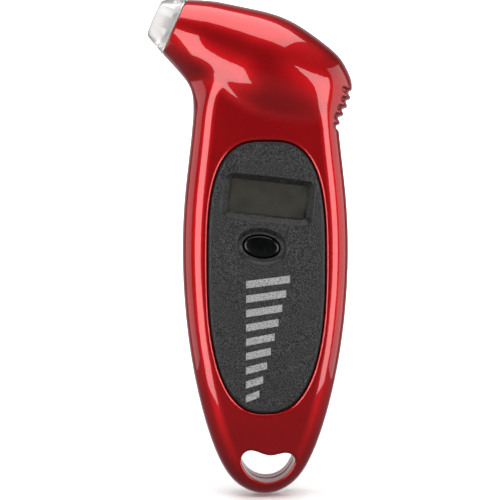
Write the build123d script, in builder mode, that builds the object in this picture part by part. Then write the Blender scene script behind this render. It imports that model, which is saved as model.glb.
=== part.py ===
"""Digital tyre pressure gauge: a two-shell housing with a lit air nozzle, an LCD, a push button and a coin cell.

Frame: +Z runs up the handle, -Y is the face with the display, and the nozzle points to -X and a little up. The parting
plane of the two shells is Y = 0, and Z = 0 is the lowest point of the handle. Units are millimetres.
"""

import os
from math import cos, hypot, pi, radians, sin

from build123d import *

# ---------------------------------------------------------------------------------------------- driving dimensions
handle_x = 4.7  # the handle's own centre line
wall = 2.0  # shell thickness
gap = 0.05  # clearance between pieces that only touch
fit_gap = 0.12  # clearance round pieces that drop into a rebate

# Handle: half its width, and half its depth front to back, at heights up from the lower end.
half_width = [
    (0.0, 0.0), (2.4, 7.1), (8.5, 12.5), (23.5, 18.25), (47.0, 23.0),
    (71.0, 24.8), (91.0, 24.1), (108.0, 22.2), (120.0, 20.6), (132.0, 16.5),
]  # fmt: skip
half_depth = [(-2.0, 5.8), (18.0, 7.7), (45.0, 9.4), (75.0, 9.8), (105.0, 9.6), (134.0, 9.6)]
edge_round = 6.0

# Head: a swelling body along the nozzle's axis, with its radius at distances in from the nozzle's mouth.
nozzle_tilt = radians(24.4)
mouth_x, mouth_z = -28.35, 144.2
nozzle_length = 6.8
head_radius = [
    (nozzle_length, 8.85), (13.5, 11.5), (18.8, 12.9), (24.8, 14.3), (31.5, 15.65), (36.5, 16.0), (41.5, 15.6),
    (50.2, 13.9), (54.9, 12.4), (57.5, 10.9), (60.8, 8.1), (62.6, 5.2), (63.4, 2.5),
]  # fmt: skip
head_flattening = 0.12  # how much the head is flattened front to back where it is fullest
flattening_end = 30.0
head_blend = 10.0  # fillet where the head meets the handle

# Thumb grip: grooves across the rear end of the head.
grip_top, grip_bottom = (31.6, 121.0), (27.3, 111.4)
groove_count, groove_radius, groove_sweep = 5, 0.85, 9.0

# Lanyard hole through the lower end.
hole_left, hole_bottom, hole_right = (-2.7, 12.7), (5.5, 4.8), (13.4, 12.1)
hole_top = [(10.9, 14.0), (5.6, 13.3), (-0.1, 14.9)]
hole_wall = 1.8

# Face panel: a squarish oval, longer below its widest point than above it.
panel_half_width, panel_widest_z = 17.6, 70.6
panel_top, panel_bottom = 37.1, 44.3
panel_power_top, panel_power_bottom = 3.0, 2.5
panel_points = 32
ledge_width, rebate_depth, rim_round = 1.5, 1.2, 0.5
panel_thickness, panel_proud, panel_round = 2.6, 0.15, 0.6

# Display and button, both turned a little clockwise against the handle.
display_turn, display_x, display_z = 6.5, 5.15, 90.5
window_length, window_height = 23.1, 10.0
bevel_side, bevel_end, bevel_depth = 2.3, 1.7, 1.3
lens_margin, lens_thickness = 0.9, 1.0
lens_front = 8.15  # heights are measured from the parting plane
lcd_length, lcd_height, lcd_thickness, lcd_drop = 26.6, 15.0, 1.9, 1.0
glass_height, backlight_height, backlight_thickness = 12.8, 11.0, 1.0
frame_wall, frame_gap = 1.0, 0.1
zebra_width, zebra_length = 1.4, 24.0
button_turn, button_x, button_z = 7.5, 3.15, 76.5
button_length, button_height = 10.8, 6.5
button_travel, button_clearance = 0.5, 0.25
button_face, button_seat, button_flange, button_lip = 9.9, 6.2, 0.9, 0.8
button_crown = 0.45
dish_margin, dish_depth = 2.2, 0.9
switch_side, switch_height, switch_cover = 6.0, 2.2, 0.3
plunger_radius, plunger_foot, plunger_foot_height = 1.6, 2.2, 0.5

# Printed scale on the lower half of the panel.
bar_count, bar_pitch, bar_height, bar_slant = 9, 4.3, 2.2, 1.6
bar_narrow, bar_wide, bars_left, bars_bottom = 4.0, 13.0, -1.5, 32.5

# Circuit board behind the panel.
board_width, board_bottom, board_top = 30.0, 44.0, 100.0
board_front, board_thickness = 3.2, 1.6  # the height of its front face above the parting plane
board_z = (board_bottom + board_top) / 2
board_screw_x, board_screw_low, board_screw_high = 11.5, 48.5, 74.0
post_radius = 2.0

# Battery bay in the rear shell, and its door.
bay_z = 62.0
cell_radius, cell_height, cell_cap_radius, cell_cap_height = 10.0, 3.2, 8.8, 0.6
bay_half, bay_corner, bay_wall, bay_floor, bay_depth = 10.8, 3.0, 1.2, 1.0, 3.4
cell_back = 7.5  # how far behind the parting plane the coin cell's rear face is
door_length, door_width, door_corner, door_face = 36.0, 27.0, 5.0, 7.9
door_ledge, door_ledge_thickness, door_boss_radius, door_boss_front = 1.5, 1.6, 2.3, 3.0
door_screw_offset = 14.8
door_travel = 15.0
door_slot_count, door_slot_pitch, door_slot_length, door_slot_width, door_slot_floor = 5, 2.2, 13.0, 0.9, 9.3

# Screws that join the shells.
boss_radius, pilot_radius, screw_radius = 2.8, 1.05, 1.0
screw_head_radius, screw_head_height, screw_seat = 1.9, 1.4, 4.5
screw_hole_gap, screw_end = 0.15, 5.6
upper_boss, lower_boss = (17.2, 104.6), (10.5, 24.0)
small_screw_radius, small_pilot_radius, small_head_radius, small_head_height = 0.8, 0.85, 1.6, 0.9
small_recess, small_recess_width, small_recess_depth = 1.8, 0.4, 0.5
door_head_height, screw_recess = 0.7, 2.4
board_screw_end, door_screw_seat, door_screw_end = 6.6, 8.6, 3.8

# Nozzle, along its axis from the mouth.
tip_radius, cone_radius, flange_radius = 6.15, 8.55, 8.8
bore_radius, bore_start, bore_end = 4.2, 0.6, 5.0
neck_radius, neck_end, catch_radius = 6.8, 12.0, 7.5
pocket_radius = 5.7
seal_radius, seal_bore, seal_end = 5.6, 2.2, 7.6
pin_radius, pin_bore, pin_start, pin_end = 1.1, 0.45, 5.1, 9.6
chamber_radius, cup_radius, cup_start, cup_end = 3.4, 6.0, 21.5, 27.0
cup_pocket, cup_floor = 5.0, 23.0
sensor_radius, sensor_start, sensor_end, sensor_pin = 4.9, 24.2, 28.2, 2.2
cap_radius, cap_start, cap_end, cap_opening = 6.9, 24.0, 29.0, 3.6
notch_start, notch_length, notch_depth, notch_width = 5.2, 1.0, 1.3, 1.8
led_radius, led_offset, led_start, led_end, led_lead = 1.5, 6.4, 12.3, 16.4, 2.0
hollow_start, hollow_start_radius = 8.8, 7.8
saddle_start, saddle_thickness, saddle_notch = 17.6, 1.6, 5.0

# ------------------------------------------------------------------------------------------------- shared geometry
axis_in = Vector(cos(nozzle_tilt), 0, -sin(nozzle_tilt))
axis_up = Vector(sin(nozzle_tilt), 0, cos(nozzle_tilt))
mouth = Vector(mouth_x, 0, mouth_z)
nozzle_axis = Axis(mouth, axis_in)
nozzle_profile = Plane(origin=mouth, x_dir=axis_in, z_dir=(0, -1, 0))
far = 60.0  # longer than any half of the gauge


def facing(x, z, height, turn=0.0):
    """A plane that faces the reader at that height above the parting plane, turned clockwise by so many degrees."""
    right = Vector(cos(radians(turn)), 0, -sin(radians(turn)))
    return Plane(origin=(x, -height, z), x_dir=right, z_dir=(0, -1, 0))


def across_nozzle(distance):
    """The plane square to the nozzle's axis, so far in from its mouth."""
    return Plane(origin=mouth + axis_in * distance, x_dir=(0, 1, 0), z_dir=axis_in)


def inset(stations, amount):
    """(position, radius) stations moved in along the normal of the curve through them."""
    moved = []
    for i, (along, radius) in enumerate(stations):
        before = stations[max(i - 1, 0)] if i or radius else (stations[1][0], -stations[1][1])
        after = stations[min(i + 1, len(stations) - 1)]
        rise, run = after[1] - before[1], after[0] - before[0]
        length = hypot(rise, run)
        moved.append((along + amount * rise / length, radius - amount * run / length))
    return moved


def flatness(distance):
    """Depth over height of the head's section at a distance from the mouth: 1 at the nozzle, less where it is full."""
    share = min(max((distance - nozzle_length) / (flattening_end - nozzle_length), 0.0), 1.0)
    return 1 - head_flattening * share * share * (3 - 2 * share)


def depth_slab(low, high, side=-1):
    """A curved plate that follows the handle's front face (side -1) or rear face, between two offsets from it."""
    with BuildPart() as slab:
        with BuildSketch(Plane.YZ.offset(-far)):
            with BuildLine():
                inner = [(side * (d + low), z) for z, d in half_depth]
                outer = [(side * (d + high), z) for z, d in half_depth]
                Spline(inner)
                Spline(outer)
                Line(inner[0], outer[0])
                Line(inner[-1], outer[-1])
            make_face()
        extrude(amount=2 * far)
    return slab.part


def handle_solid(amount):
    """The handle, with its whole surface moved in by an amount."""
    widths = inset(half_width, amount)
    with BuildPart() as handle:
        with BuildSketch(Plane.XZ.offset(-far)):
            with BuildLine():
                left = [(handle_x - w, z) for z, w in reversed(widths)]
                right = [(handle_x + w, z) for z, w in widths]
                Spline(left + right[1:])
                Line(right[-1], left[0])
            make_face()
        extrude(amount=2 * far)
        with BuildSketch(Plane.YZ.offset(-far)):
            with BuildLine():
                front = [(amount - d, z) for z, d in half_depth]
                back = [(d - amount, z) for z, d in half_depth]
                Spline(front)
                Spline(back)
                Line(front[0], back[0])
                Line(front[-1], back[-1])
            make_face()
        extrude(amount=2 * far, mode=Mode.INTERSECT)
        rims = handle.edges().filter_by(lambda e: e.length > 100)
        fillet(rims, radius=edge_round - amount)
    return handle.part


def head_solid(amount, first=None):
    """The head, with its surface moved in by an amount. A first station, if any, replaces those before it."""
    stations = inset(head_radius, amount)
    if first:
        stations = [first] + [station for station in stations if station[0] > first[0] + 2]
    with BuildPart() as head:
        for distance, radius in stations:
            with BuildSketch(across_nozzle(distance)):
                Ellipse(radius * flatness(distance), radius)
        loft()
    return head.part


def outer_solid():
    """The closed outer form of the gauge: handle and head blended together, with the thumb grip's grooves."""
    with BuildPart() as body:
        add(handle_solid(0))
        add(head_solid(0))
        seam = body.edges().filter_by(lambda e: e.length < 35 and 112 < e.center().Z < 126 and e.center().X < 28)
        fillet(seam, radius=head_blend)
        for i in range(groove_count):
            share = i / (groove_count - 1)
            x = grip_top[0] + (grip_bottom[0] - grip_top[0]) * share
            z = grip_top[1] + (grip_bottom[1] - grip_top[1]) * share
            centre = Vector(x, 0, z) - axis_in * groove_sweep
            with Locations(Plane(origin=centre, x_dir=(0, 1, 0), z_dir=axis_up)):
                Torus(groove_sweep, groove_radius, mode=Mode.SUBTRACT)
        add(hole_prism(0), mode=Mode.SUBTRACT)
    return body.part


def hole_prism(margin):
    """The lanyard hole's outline, grown by a margin, right through the gauge."""
    left = (hole_left[0] - margin, hole_left[1])
    right = (hole_right[0] + margin, hole_right[1])
    with BuildPart() as prism:
        with BuildSketch(Plane.XZ.offset(-far)):
            with BuildLine():
                ThreePointArc(left, (hole_bottom[0], hole_bottom[1] - margin), right)
                Spline(right, *[(x, z + margin) for x, z in hole_top], left, tangents=[(0.1, 1), (-0.1, -1)])
            make_face()
        extrude(amount=2 * far)
    return prism.part


def panel_prism(margin):
    """The face panel's outline moved in by a margin, right through the front."""
    points = []
    for i in range(panel_points):
        angle = 2 * pi * i / panel_points
        above = sin(angle) >= 0
        power = 2 / (panel_power_top if above else panel_power_bottom)
        reach = (panel_top if above else panel_bottom) - margin
        x = (panel_half_width - margin) * abs(cos(angle)) ** power * (1 if cos(angle) >= 0 else -1)
        z = reach * abs(sin(angle)) ** power * (1 if above else -1)
        points.append((handle_x + x, panel_widest_z + z))
    with BuildPart() as prism:
        with BuildSketch(Plane.XZ):
            with BuildLine():
                Spline(points, periodic=True)
            make_face()
        extrude(amount=far)
    return prism.part


outer = outer_solid()
hollow_head = head_solid(wall, (hollow_start, hollow_start_radius))
hollow_handle = handle_solid(wall)
boss_places = [(handle_x + side * x, z) for x, z in (upper_boss, lower_boss) for side in (-1, 1)]


def half_shell(side):
    """One half of the housing: -1 is the front and 1 the rear, with its hollow, screw bosses and nozzle saddle."""
    with BuildPart() as hollow:
        add(hollow_handle)
        add(hollow_head)
        add(hole_prism(hole_wall), mode=Mode.SUBTRACT)
        with BuildSketch(Plane.XZ.offset(-far)):
            with Locations(*boss_places):
                Circle(boss_radius)
        extrude(amount=2 * far, mode=Mode.SUBTRACT)
        with BuildSketch(across_nozzle(saddle_start)):
            Rectangle(2 * far, 2 * far)
            Circle(chamber_radius + gap, mode=Mode.SUBTRACT)
            with Locations((0, led_offset + 1)):
                Rectangle(saddle_notch, saddle_notch, mode=Mode.SUBTRACT)
        extrude(amount=saddle_thickness, mode=Mode.SUBTRACT)
    with BuildPart() as neck_hole:
        with BuildSketch(across_nozzle(0)):
            Circle(neck_radius + gap)
        extrude(amount=10)
    with BuildPart() as half:
        add(outer)
        add(hollow.part, mode=Mode.SUBTRACT)
        add(neck_hole.part, mode=Mode.SUBTRACT)
        with BuildSketch(Plane.XZ):
            Rectangle(8 * far, 8 * far)
        extrude(amount=-side * far, mode=Mode.INTERSECT)
    return half.part


# ------------------------------------------------------------------------------------------------------ front shell
with BuildPart() as front_shell:
    add(half_shell(-1))
    with BuildSketch(Plane.XZ):
        with Locations(*boss_places):
            Circle(pilot_radius)
    extrude(amount=screw_end + 0.6, mode=Mode.SUBTRACT)
    add(panel_prism(ledge_width), mode=Mode.SUBTRACT)
    with BuildPart(mode=Mode.PRIVATE) as rebate:
        add(panel_prism(0))
        add(depth_slab(-rebate_depth, 5), mode=Mode.INTERSECT)
    add(rebate.part, mode=Mode.SUBTRACT)
    rim = front_shell.edges().filter_by(lambda e: e.length > 150).sort_by(Axis.Y)[0]
    fillet(rim, radius=rim_round)
front_shell.part.label = "front_shell"


# ------------------------------------------------------------------------------------------------------- rear shell
def door_outline(margin):
    """The battery door's rounded rectangle, grown by a margin."""
    return RectangleRounded(door_width + 2 * margin, door_length + 2 * margin, door_corner + margin)


door_screw_places = [(0, -door_screw_offset), (0, door_screw_offset)]

with BuildPart() as rear_shell:
    add(half_shell(1))
    with BuildSketch(facing(handle_x, bay_z, -door_face)):
        door_outline(door_ledge)
    extrude(amount=door_ledge_thickness)
    with BuildSketch(facing(handle_x, bay_z, -door_face)):
        RectangleRounded(2 * (bay_half + bay_wall), 2 * (bay_half + bay_wall), bay_corner)
    extrude(amount=door_face - bay_depth + bay_floor)
    with BuildSketch(facing(handle_x, bay_z, -door_face)):
        with Locations(*door_screw_places):
            Circle(door_boss_radius)
    extrude(amount=door_face - door_boss_front)
    with BuildSketch(facing(handle_x, bay_z, -bay_depth)):
        RectangleRounded(2 * bay_half, 2 * bay_half, bay_corner)
    extrude(amount=-far, mode=Mode.SUBTRACT)
    with BuildSketch(facing(handle_x, bay_z, -door_face)):
        door_outline(0)
    extrude(amount=-far, mode=Mode.SUBTRACT)
    with BuildSketch(facing(handle_x, bay_z, -door_face)):
        with Locations(*door_screw_places):
            Circle(small_pilot_radius)
    extrude(amount=door_face - door_screw_end + gap, mode=Mode.SUBTRACT)
    with BuildSketch(facing(handle_x, bay_z, -bay_depth)):
        with Locations((-bay_half + 0.5, 0), (bay_half - 0.5, 0)):
            Rectangle(0.9, 4.6)
    extrude(amount=bay_floor + gap, mode=Mode.SUBTRACT)
    with BuildSketch(Plane.XZ):
        with Locations(*boss_places):
            Circle(screw_radius + screw_hole_gap)
    extrude(amount=-far, mode=Mode.SUBTRACT)
    with BuildSketch(Plane.XZ.offset(-screw_seat)):
        with Locations(*boss_places):
            Circle(screw_head_radius + screw_hole_gap)
    extrude(amount=-far, mode=Mode.SUBTRACT)
rear_shell.part.label = "rear_shell"

# ------------------------------------------------------------------------------------------------------- face panel
board_screw_rows = (board_screw_low, board_screw_high)
board_screw_places = [(handle_x + side * board_screw_x, z) for z in board_screw_rows for side in (-1, 1)]
window = (display_x, display_z)
panel_face = 9.95  # height of the panel's front near the display and the button
panel_back = panel_face - panel_thickness

with BuildPart() as face_panel:
    with BuildPart(mode=Mode.PRIVATE) as step:
        add(depth_slab(-far / 10, gap - rebate_depth))
        add(panel_prism(ledge_width + fit_gap), mode=Mode.SUBTRACT)
    add(panel_prism(fit_gap))
    add(depth_slab(panel_proud - panel_thickness, panel_proud), mode=Mode.INTERSECT)
    fillet(face_panel.edges().filter_by(lambda e: e.length > 100).sort_by(Axis.Y)[0], radius=panel_round)
    add(step.part, mode=Mode.SUBTRACT)
    with BuildSketch(*[facing(x, z, board_front + gap) for x, z in board_screw_places]):
        Circle(post_radius)
    extrude(amount=panel_back - board_front + 0.3)
    with BuildSketch(*[facing(x, z, board_front) for x, z in board_screw_places]):
        Circle(small_pilot_radius)
    extrude(amount=board_screw_end - board_front + gap, mode=Mode.SUBTRACT)
    # the bevelled window, with a pocket behind it for the lens
    with BuildSketch(facing(*window, 0, display_turn)):
        RectangleRounded(window_length, window_height, 1.0)
    extrude(amount=far, mode=Mode.SUBTRACT)
    with BuildSketch(facing(*window, 0, display_turn)):
        RectangleRounded(window_length + 2 * lens_margin, window_height + 2 * lens_margin, 1.0)
    extrude(amount=lens_front + gap, mode=Mode.SUBTRACT)
    with BuildSketch(facing(*window, panel_face - bevel_depth, display_turn)):
        RectangleRounded(window_length, window_height, 1.0)
    with BuildSketch(facing(*window, panel_face, display_turn)):
        RectangleRounded(window_length + 2 * bevel_side, window_height + 2 * bevel_end, 2.2)
    loft(mode=Mode.SUBTRACT)
    # the dish round the button
    with BuildSketch(facing(button_x, button_z, 0, button_turn)):
        Ellipse(button_length / 2 + button_clearance, button_height / 2 + button_clearance)
    extrude(amount=far, mode=Mode.SUBTRACT)
    with BuildSketch(facing(button_x, button_z, panel_face - dish_depth, button_turn)):
        Ellipse(button_length / 2 + 0.5, button_height / 2 + 0.5)
    with BuildSketch(facing(button_x, button_z, panel_face, button_turn)) as dish_top:
        Ellipse(button_length / 2 + dish_margin, button_height / 2 + dish_margin)
    loft(mode=Mode.SUBTRACT)
    extrude(dish_top.sketch, amount=1, mode=Mode.SUBTRACT)
face_panel.part.label = "face_panel"

with BuildPart() as display_window:
    with BuildSketch(facing(*window, lens_front, display_turn)):
        RectangleRounded(window_length + 2 * lens_margin - 0.2, window_height + 2 * lens_margin - 0.2, 0.9)
    extrude(amount=-lens_thickness)
display_window.part.label = "display_window"

# Printed scale on the lower half of the panel: slanted bars that grow wider upwards.
with BuildPart() as panel_graphic:
    with BuildSketch(Plane.XZ):
        for i in range(bar_count):
            width = bar_narrow + (bar_wide - bar_narrow) * i / (bar_count - 1)
            z = bars_bottom + bar_pitch * i
            with Locations((bars_left + width / 2, z)):
                Polygon(
                    (-width / 2, -bar_height / 2 - bar_slant), (width / 2, -bar_height / 2),
                    (width / 2, bar_height / 2), (-width / 2, bar_height / 2 - bar_slant), align=None,
                )  # fmt: skip
    extrude(amount=far)
    add(depth_slab(panel_proud + 0.01, panel_proud + 0.09), mode=Mode.INTERSECT)
panel_graphic.part.label = "panel_graphic"

# --------------------------------------------------------------------------------------------------- display stack
lcd_back = lens_front - lens_thickness - gap - lcd_thickness
lcd_centre = (display_x - lcd_drop * sin(radians(display_turn)), display_z - lcd_drop * cos(radians(display_turn)))
zebra_offset = (lcd_height - zebra_width) / 2 - 0.2

with BuildPart() as lcd_panel:
    with BuildSketch(facing(*lcd_centre, lcd_back, display_turn)):
        Rectangle(lcd_length, lcd_height)
    extrude(amount=lcd_thickness / 2)
    with BuildSketch(facing(*lcd_centre, lcd_back + lcd_thickness / 2, display_turn)):
        with Locations((0, (lcd_height - glass_height) / 2)):
            Rectangle(lcd_length, glass_height)
    extrude(amount=lcd_thickness / 2)
lcd_panel.part.label = "lcd_panel"

with BuildPart() as backlight_plate:
    with BuildSketch(facing(*lcd_centre, lcd_back - gap, display_turn)):
        RectangleRounded(lcd_length - 1, backlight_height, 0.5)
    extrude(amount=-backlight_thickness)
    with BuildSketch(facing(*lcd_centre, lcd_back - gap, display_turn)):
        with Locations((-lcd_length / 2 + 2.2, 0)):
            Rectangle(1.8, 3.2)
    extrude(amount=-backlight_thickness, mode=Mode.SUBTRACT)
backlight_plate.part.label = "backlight_plate"

with BuildPart() as zebra_strips:
    with BuildSketch(facing(*lcd_centre, board_front + gap, display_turn)):
        with Locations((0, -zebra_offset), (0, zebra_offset)):
            Rectangle(zebra_length, zebra_width)
    extrude(amount=lcd_back - board_front - 2 * gap)
zebra_strips.part.label = "zebra_strips"

with BuildPart() as lcd_frame:
    inner_length, inner_height = lcd_length + 2 * frame_gap, lcd_height + 2 * frame_gap
    with BuildSketch(facing(*lcd_centre, board_front + gap, display_turn)):
        RectangleRounded(inner_length + 2 * frame_wall, inner_height + 2 * frame_wall, 1.0)
        Rectangle(inner_length, inner_height, mode=Mode.SUBTRACT)
    extrude(amount=lens_front - lens_thickness - 2 * gap - board_front)
    with BuildSketch(facing(*lcd_centre, lcd_back - 2 * gap - backlight_thickness, display_turn)):
        Rectangle(inner_length + 0.2, backlight_height - 1)
        Rectangle(inner_length - 2.4, backlight_height, mode=Mode.SUBTRACT)
    extrude(amount=-0.6)
lcd_frame.part.label = "lcd_frame"

# ---------------------------------------------------------------------------------------------------------- button
with BuildPart() as button_cap:
    with BuildSketch(facing(button_x, button_z, button_seat, button_turn)):
        Ellipse(button_length / 2 + button_lip, button_height / 2 + button_lip)
    extrude(amount=button_flange)
    with BuildSketch(facing(button_x, button_z, button_seat + button_flange, button_turn)):
        Ellipse(button_length / 2, button_height / 2)
    extrude(amount=button_face - button_seat - button_flange)
    fillet(button_cap.edges().sort_by(Axis.Y)[0], radius=button_crown)
button_cap.part.label = "button_cap"

with BuildPart() as switch_body:
    with BuildSketch(facing(button_x, button_z, board_front + gap, button_turn)):
        RectangleRounded(switch_side, switch_side, 0.5)
    extrude(amount=switch_height)
    with BuildSketch(facing(button_x, button_z, board_front + switch_cover + 0.2, button_turn)):
        Circle(plunger_foot + 0.2)
    extrude(amount=switch_height - 2 * switch_cover - 0.15, mode=Mode.SUBTRACT)
    with BuildSketch(facing(button_x, button_z, board_front + switch_cover + 0.2, button_turn)):
        Circle(plunger_radius + 0.1)
    extrude(amount=switch_height, mode=Mode.SUBTRACT)
    with BuildSketch(facing(button_x, button_z, board_front + gap, button_turn)):
        with Locations(*[(sx * 3.4, sy * 2.25) for sx in (-1, 1) for sy in (-1, 1)]):
            Rectangle(1.0, 0.7)
    extrude(amount=0.3)
switch_body.part.label = "switch_body"

with BuildPart() as switch_plunger:
    cover_underside = board_front + switch_height - switch_cover + gap
    with BuildSketch(facing(button_x, button_z, cover_underside - gap, button_turn)):
        Circle(plunger_foot)
    extrude(amount=-plunger_foot_height)
    with BuildSketch(facing(button_x, button_z, cover_underside - gap, button_turn)):
        Circle(plunger_radius)
    extrude(amount=button_seat - cover_underside)
switch_plunger.part.label = "switch_plunger"

# --------------------------------------------------------------------------------------------------- circuit board
board_back = board_front - board_thickness
chip_z, chip_side, chip_height, chip_pins = 88.0, 9.0, 1.2, 8
leg_pitch, leg_width, leg_length, leg_thickness, leg_reach = 0.9, 0.4, 1.2, 0.3, 0.4

with BuildPart() as main_board:
    with BuildSketch(facing(handle_x, board_z, board_back)):
        RectangleRounded(board_width, board_top - board_bottom, 2.5)
        with Locations(*[(x - handle_x, z - board_z) for x, z in board_screw_places]):
            Circle(small_screw_radius + 0.15, mode=Mode.SUBTRACT)
    extrude(amount=board_thickness)
main_board.part.label = "main_board"

with BuildPart() as controller_chip:
    with BuildSketch(facing(handle_x, chip_z, board_back - 0.15)):
        Rectangle(chip_side, chip_side)
    extrude(amount=-chip_height)
    chamfer(controller_chip.edges().filter_by(Axis.Y), length=0.4)
    with BuildSketch(facing(handle_x, chip_z, board_back - gap)):
        for i in range(chip_pins):
            along = (i - (chip_pins - 1) / 2) * leg_pitch
            across = chip_side / 2 + leg_reach
            with Locations((along, across), (along, -across)):
                Rectangle(leg_width, leg_length)
            with Locations((across, along), (-across, along)):
                Rectangle(leg_length, leg_width)
    extrude(amount=-leg_thickness)
controller_chip.part.label = "controller_chip"

# (x, z, width, length) of small surface-mounted parts on the board's rear, and of cans on its front
rear_chips = [
    (-6.5, 94.0, 1.6, 3.2), (-6.5, 84.0, 1.6, 3.2), (15.5, 91.0, 3.2, 1.6), (15.5, 86.0, 3.2, 1.6),
    (16.0, 81.0, 3.2, 2.5),
]  # fmt: skip
front_cans = [(-4.0, 64.0), (12.5, 63.0)]
small_chip_height, can_radius, can_height = 0.8, 2.0, 2.6
crystal_x, crystal_z, crystal_length, crystal_width, crystal_height = 4.0, 54.0, 10.5, 4.4, 2.8
with BuildPart() as board_components:
    for x, z, width, length in rear_chips:
        with BuildSketch(facing(x, z, board_back - gap)):
            Rectangle(width, length)
        extrude(amount=-small_chip_height)
    for x, z in front_cans:
        with BuildSketch(facing(x, z, board_front + gap)):
            Circle(can_radius)
        extrude(amount=can_height)
    with BuildSketch(facing(crystal_x, crystal_z, board_front + gap)):
        SlotOverall(crystal_length, crystal_width)
    extrude(amount=crystal_height)
board_components.part.label = "board_components"

with BuildPart() as board_screws:
    with BuildSketch(*[facing(x, z, board_back - gap) for x, z in board_screw_places]):
        Circle(small_head_radius)
    extrude(amount=-small_head_height)
    with BuildSketch(*[facing(x, z, board_back - gap) for x, z in board_screw_places]):
        Circle(small_screw_radius)
    extrude(amount=board_screw_end - board_back)
    with BuildSketch(*[facing(x, z, board_back - gap - small_head_height) for x, z in board_screw_places]):
        Rectangle(small_recess, small_recess_width)
        Rectangle(small_recess_width, small_recess)
    extrude(amount=small_recess_depth, mode=Mode.SUBTRACT)
board_screws.part.label = "board_screws"

# --------------------------------------------------------------------------------------------- battery and its door
with BuildPart() as coin_cell:
    with BuildSketch(facing(handle_x, bay_z, -cell_back)):
        Circle(cell_radius)
    extrude(amount=cell_height - cell_cap_height)
    fillet(coin_cell.edges(), radius=0.35)
    with BuildSketch(facing(handle_x, bay_z, cell_height - cell_cap_height - cell_back)):
        Circle(cell_cap_radius)
    extrude(amount=cell_cap_height)
coin_cell.part.label = "coin_cell"

contact_metal, contact_width = 0.3, 4.0
cell_front = cell_back - cell_height


def contact_strip(points, width):
    """Sheet-metal contact: a strip bent along (x from the handle's centre, y) points in the plane of its section."""
    with BuildPart() as strip:
        with BuildSketch(Plane.XY.offset(bay_z - width / 2)):
            with BuildLine():
                Polyline([(handle_x + x, y) for x, y in points])
            trace(line_width=contact_metal)
        extrude(amount=width)
    return strip.part


tail_front = gap - board_back
tail_x = bay_half - 0.4
with BuildPart() as negative_contact:
    floor_y = bay_depth + gap + contact_metal / 2
    tip_y = cell_front - gap - contact_metal / 2
    add(contact_strip([(tail_x, tail_front), (tail_x, floor_y), (5, floor_y), (0, tip_y), (-4, floor_y)], contact_width))
negative_contact.part.label = "negative_contact"

with BuildPart() as positive_contact:
    add(contact_strip([(-tail_x, tail_front), (-tail_x, 4.6), (0.2 - tail_x, 5.8), (-tail_x, 7.0)], contact_width))
positive_contact.part.label = "positive_contact"

with BuildPart() as battery_door:
    with BuildSketch(facing(handle_x, bay_z, -door_face - gap)):
        door_outline(-fit_gap)
    extrude(amount=-far)
    add(depth_slab(-4, 0, side=1), mode=Mode.INTERSECT)
    chamfer(battery_door.edges().filter_by(lambda e: e.center().Y > door_face + 1.3), length=0.3)
    with BuildSketch(facing(handle_x, bay_z, -door_face)):
        with Locations(*door_screw_places):
            Circle(small_screw_radius + 0.15)
    extrude(amount=-far, mode=Mode.SUBTRACT)
    with BuildSketch(facing(handle_x, bay_z, -door_screw_seat)):
        with Locations(*door_screw_places):
            Circle(small_head_radius + 0.2)
    extrude(amount=-far, mode=Mode.SUBTRACT)
    with BuildSketch(facing(handle_x, bay_z, -door_slot_floor)):
        with GridLocations(0, door_slot_pitch, 1, door_slot_count):
            SlotOverall(door_slot_length, door_slot_width)
    extrude(amount=-far, mode=Mode.SUBTRACT)
battery_door.part.label = "battery_door"


def screws(places, seat, end, shank, head, head_height, recess):
    """Cross-head screws driven in from the rear: head bearing at height -seat, tip at height end."""
    with BuildPart() as driven:
        with BuildSketch(*[facing(x, z, -seat - gap) for x, z in places]):
            Circle(head)
        extrude(amount=-head_height)
        with BuildSketch(*[facing(x, z, -seat - gap) for x, z in places]):
            Circle(shank)
        extrude(amount=seat + gap + end)
        with BuildSketch(*[facing(x, z, -seat - gap - head_height) for x, z in places]):
            Rectangle(recess, recess / 4)
            Rectangle(recess / 4, recess)
        extrude(amount=head_height * 0.55, mode=Mode.SUBTRACT)
    return driven.part


with BuildPart() as door_screws:
    places = [(handle_x + x, bay_z + z) for x, z in door_screw_places]
    shank, head = small_screw_radius, small_head_radius
    add(screws(places, door_screw_seat, -door_screw_end, shank, head, door_head_height, small_recess))
door_screws.part.label = "door_screws"

with BuildPart() as housing_screws:
    head, head_height = screw_head_radius, screw_head_height
    add(screws(boss_places, screw_seat, screw_end, screw_radius, head, head_height, screw_recess))
housing_screws.part.label = "housing_screws"


# ---------------------------------------------------------------------------------------- nozzle, valve and sensor
def turned(points):
    """A turned piece, from its half section as (distance along the nozzle's axis, radius) points."""
    with BuildPart() as piece:
        with BuildSketch(nozzle_profile):
            Polygon(*points, align=None)
        revolve(axis=nozzle_axis)
    return piece.part


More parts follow.
